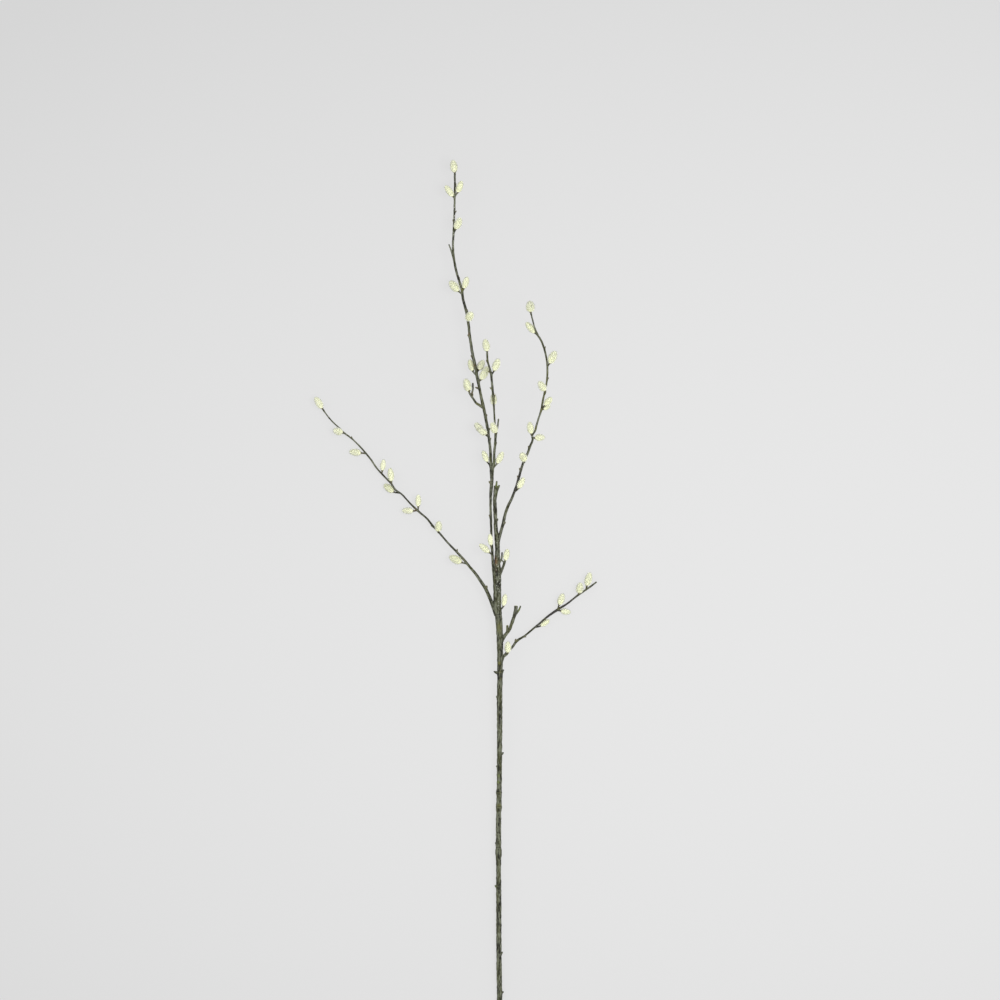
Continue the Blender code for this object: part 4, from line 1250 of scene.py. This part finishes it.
def hairs(roots, tips, way, outward, thick):
    """Each hair as a closed pyramid: three root points and a tip."""
    first = unit(np.cross(way, outward))
    second = np.cross(way, first)
    points = []
    for corner in range(3):
        turn = corner * math.tau / 3
        points.append(roots + thick * (math.cos(turn) * first + math.sin(turn) * second))
    points.append(tips)
    points = np.stack(points, axis=1).reshape(-1, 3)
    start = np.arange(len(roots))[:, None, None] * 4
    pattern = np.array(((0, 1, 3), (1, 2, 3), (2, 0, 3), (0, 2, 1)))
    faces = (start + pattern).reshape(-1, 3)
    return points, faces


# %% One catkin
def catkin(name, row, number, whiteness):
    length, width = row[5], row[6]
    chance = np.random.default_rng(1000 + number)
    way = pointing(row[3], row[4])
    foot = np.array(Vector(row[:3]) + way * SEAT_GAP)
    turned = np.array(way.to_track_quat("Z", "Y").to_matrix())
    scales = scale_spiral(length, width, chance)
    points, faces, near = core(length, width, scales)
    facing, tall, low = CUPS[f"catkin_{name}"]
    own = turned.T @ facing
    cup_side = math.atan2(own[1], own[0])
    drawn = down(length, width, scales, chance, cup_side, tall, low)
    hair_points, hair_faces = hairs(*drawn, HAIR_RADIUS * width)
    hair_faces = hair_faces + len(points)
    placed = np.concatenate((points, hair_points)) @ turned.T + foot
    placed[:, 2] = np.maximum(placed[:, 2], LOWEST_HAIR)
    all_faces = faces + hair_faces.tolist()
    piece = new_piece(f"catkin_{name}_downy", placed, all_faces, CATKIN_MATERIALS)
    piece.data.polygons.foreach_set("material_index", [0] * len(faces) + [1] * len(hair_faces))
    hair_count = len(hair_points) // 4
    write_values(piece.data, "scale", np.concatenate((near, np.zeros(len(hair_points)))))
    along_hair = np.tile((0.0, 0.0, 0.0, 1.0), hair_count)
    write_values(piece.data, "hair", np.concatenate((np.zeros(len(points)), along_hair)))
    tone = np.clip(whiteness + chance.normal(0.0, 0.25, hair_count), 0.0, 1.0)
    write_values(piece.data, "tone", np.concatenate((np.zeros(len(points)), np.repeat(tone, 4))))
    piece.data.shade_smooth()
    return piece


WHITE = ("left_2", "right_4", "left_1", "leader_11", "leader_12", "left_8", "left_4", "low_1")
# The second list is darker and yellower than the rest: partly the catkins' own colour and partly painted
# shade, as on leader_8, which lies in shade.
YELLOWER_AND_SHADED = ("right_2", "leader_8", "right_5", "right_6", "left_6", "left_10", "low_2", "leader_3")
WHITENESS = {"white": 0.95, "yellow": 0.2, "plain": 0.6}
number = 0
catkin_faces = 0
for shoot, rows in CATKINS.items():
    for place, row in enumerate(rows, start=1):
        number += 1
        name = f"{shoot}_{place}"
        whiteness = WHITENESS["white" if name in WHITE else "yellow" if name in YELLOWER_AND_SHADED else "plain"]
        made = catkin(name, row, number, whiteness)
        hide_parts(f"catkin_{name}")
        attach(made, "root")
        catkin_faces += sum(len(face.vertices) - 2 for face in made.data.polygons)
print("catkins:", number, "triangles in them:", catkin_faces)

# %% [markdown]
# ## Table, light and camera
# The ground is even and pale with hardly a shadow. Strong light from all round lies on
# the twig, and two broad lamps high above shape it a little. The table is dark but glows with
# painted light, so hardly a shadow shows on it. The glow is a painted pool of light, brightest a
# little to the right and fading towards the edges. A white table in lamp light would show every shadow.

# %% Table
TABLE_HALF = 24.0
TABLE_DROP = 0.0003
BRIGHTEST = (0.49, -0.03, 0.0)
FADE = (1.60, 0.99, 1.0)
EDGE_GLOW = (0.82, 0.82, 0.82)


def table():
    mesh = bpy.data.meshes.new("table")
    side = TABLE_HALF
    flat = ((-side, -side), (side, -side), (side, side), (-side, side))
    mesh.from_pydata([(x, y, -TABLE_DROP) for x, y in flat], [], [(0, 1, 2, 3)])
    made, tree, shader = new_material("table_top", 0.9)
    shader.inputs["Base Color"].default_value = (0.08, 0.08, 0.08, 1.0)
    texture = tree.nodes.new("ShaderNodeTexCoord")
    vector = texture.outputs["Object"]
    for operation, values in (("SUBTRACT", BRIGHTEST), ("DIVIDE", FADE)):
        vector = reckoned(tree, operation, vector, values, kind="VectorMath").outputs["Vector"]
    away = reckoned(tree, "DOT_PRODUCT", vector, vector, kind="VectorMath")
    fading = spread(tree, away.outputs["Value"], 0.0, 1.0)
    glow = blend(tree, fading, (1.0, 1.0, 1.0), EDGE_GLOW)
    # Painted light: the glow fills the twig's shadows on the table and paints a pool of light that is
    # brightest a little to the right.
    tree.links.new(glow, shader.inputs["Emission Color"])
    shader.inputs["Emission Strength"].default_value = 0.668
    mesh.materials.append(made)
    return put("table", mesh)


floor = table()
print("table side in metres:", 2 * TABLE_HALF)


# %% Lights
def soft_light(name, place, size, watts, target=(0.05, 0.12, 0.0)):
    light = bpy.data.lights.new(name, "AREA")
    light.shape = "DISK"
    light.size = size
    light.energy = watts
    piece = put(name, light)
    piece.location = place
    piece.rotation_euler = (Vector(target) - Vector(place)).to_track_quat("-Z", "Y").to_euler()
    piece.visible_camera = False
    return piece


world = bpy.data.worlds.new("bright_surround")
world.use_nodes = True
world.node_tree.nodes["Background"].inputs["Color"].default_value = (0.92, 0.92, 0.92, 1.0)
world.node_tree.nodes["Background"].inputs["Strength"].default_value = 0.95
bpy.context.scene.world = world
soft_light("key", (1.30, 0.15, 4.3), 2.2, 95.0)
soft_light("fill", (-2.4, 1.8, 4.2), 3.0, 20.0)
bpy.context.scene.view_settings.view_transform = "Standard"

# %% [markdown]
# ## Camera
# One pixel of the thousand is 1.25 mm on the twig, so the frame is 1.25 m wide. A long lens from
# far above keeps the raised shoots from looking larger than the stem.

# %% Camera
FRAME_WIDTH = 1.25
LENS = 400.0
SENSOR = 36.0
camera_data = bpy.data.cameras.new("overhead")
camera_data.lens = LENS
camera_data.sensor_width = SENSOR
camera_data.clip_end = 60.0
camera = put("overhead", camera_data)
camera.location = (0.0559, 0.125, 0.03 + FRAME_WIDTH * LENS / SENSOR)
bpy.context.scene.camera = camera
print("camera height in metres:", round(camera.location.z, 3))
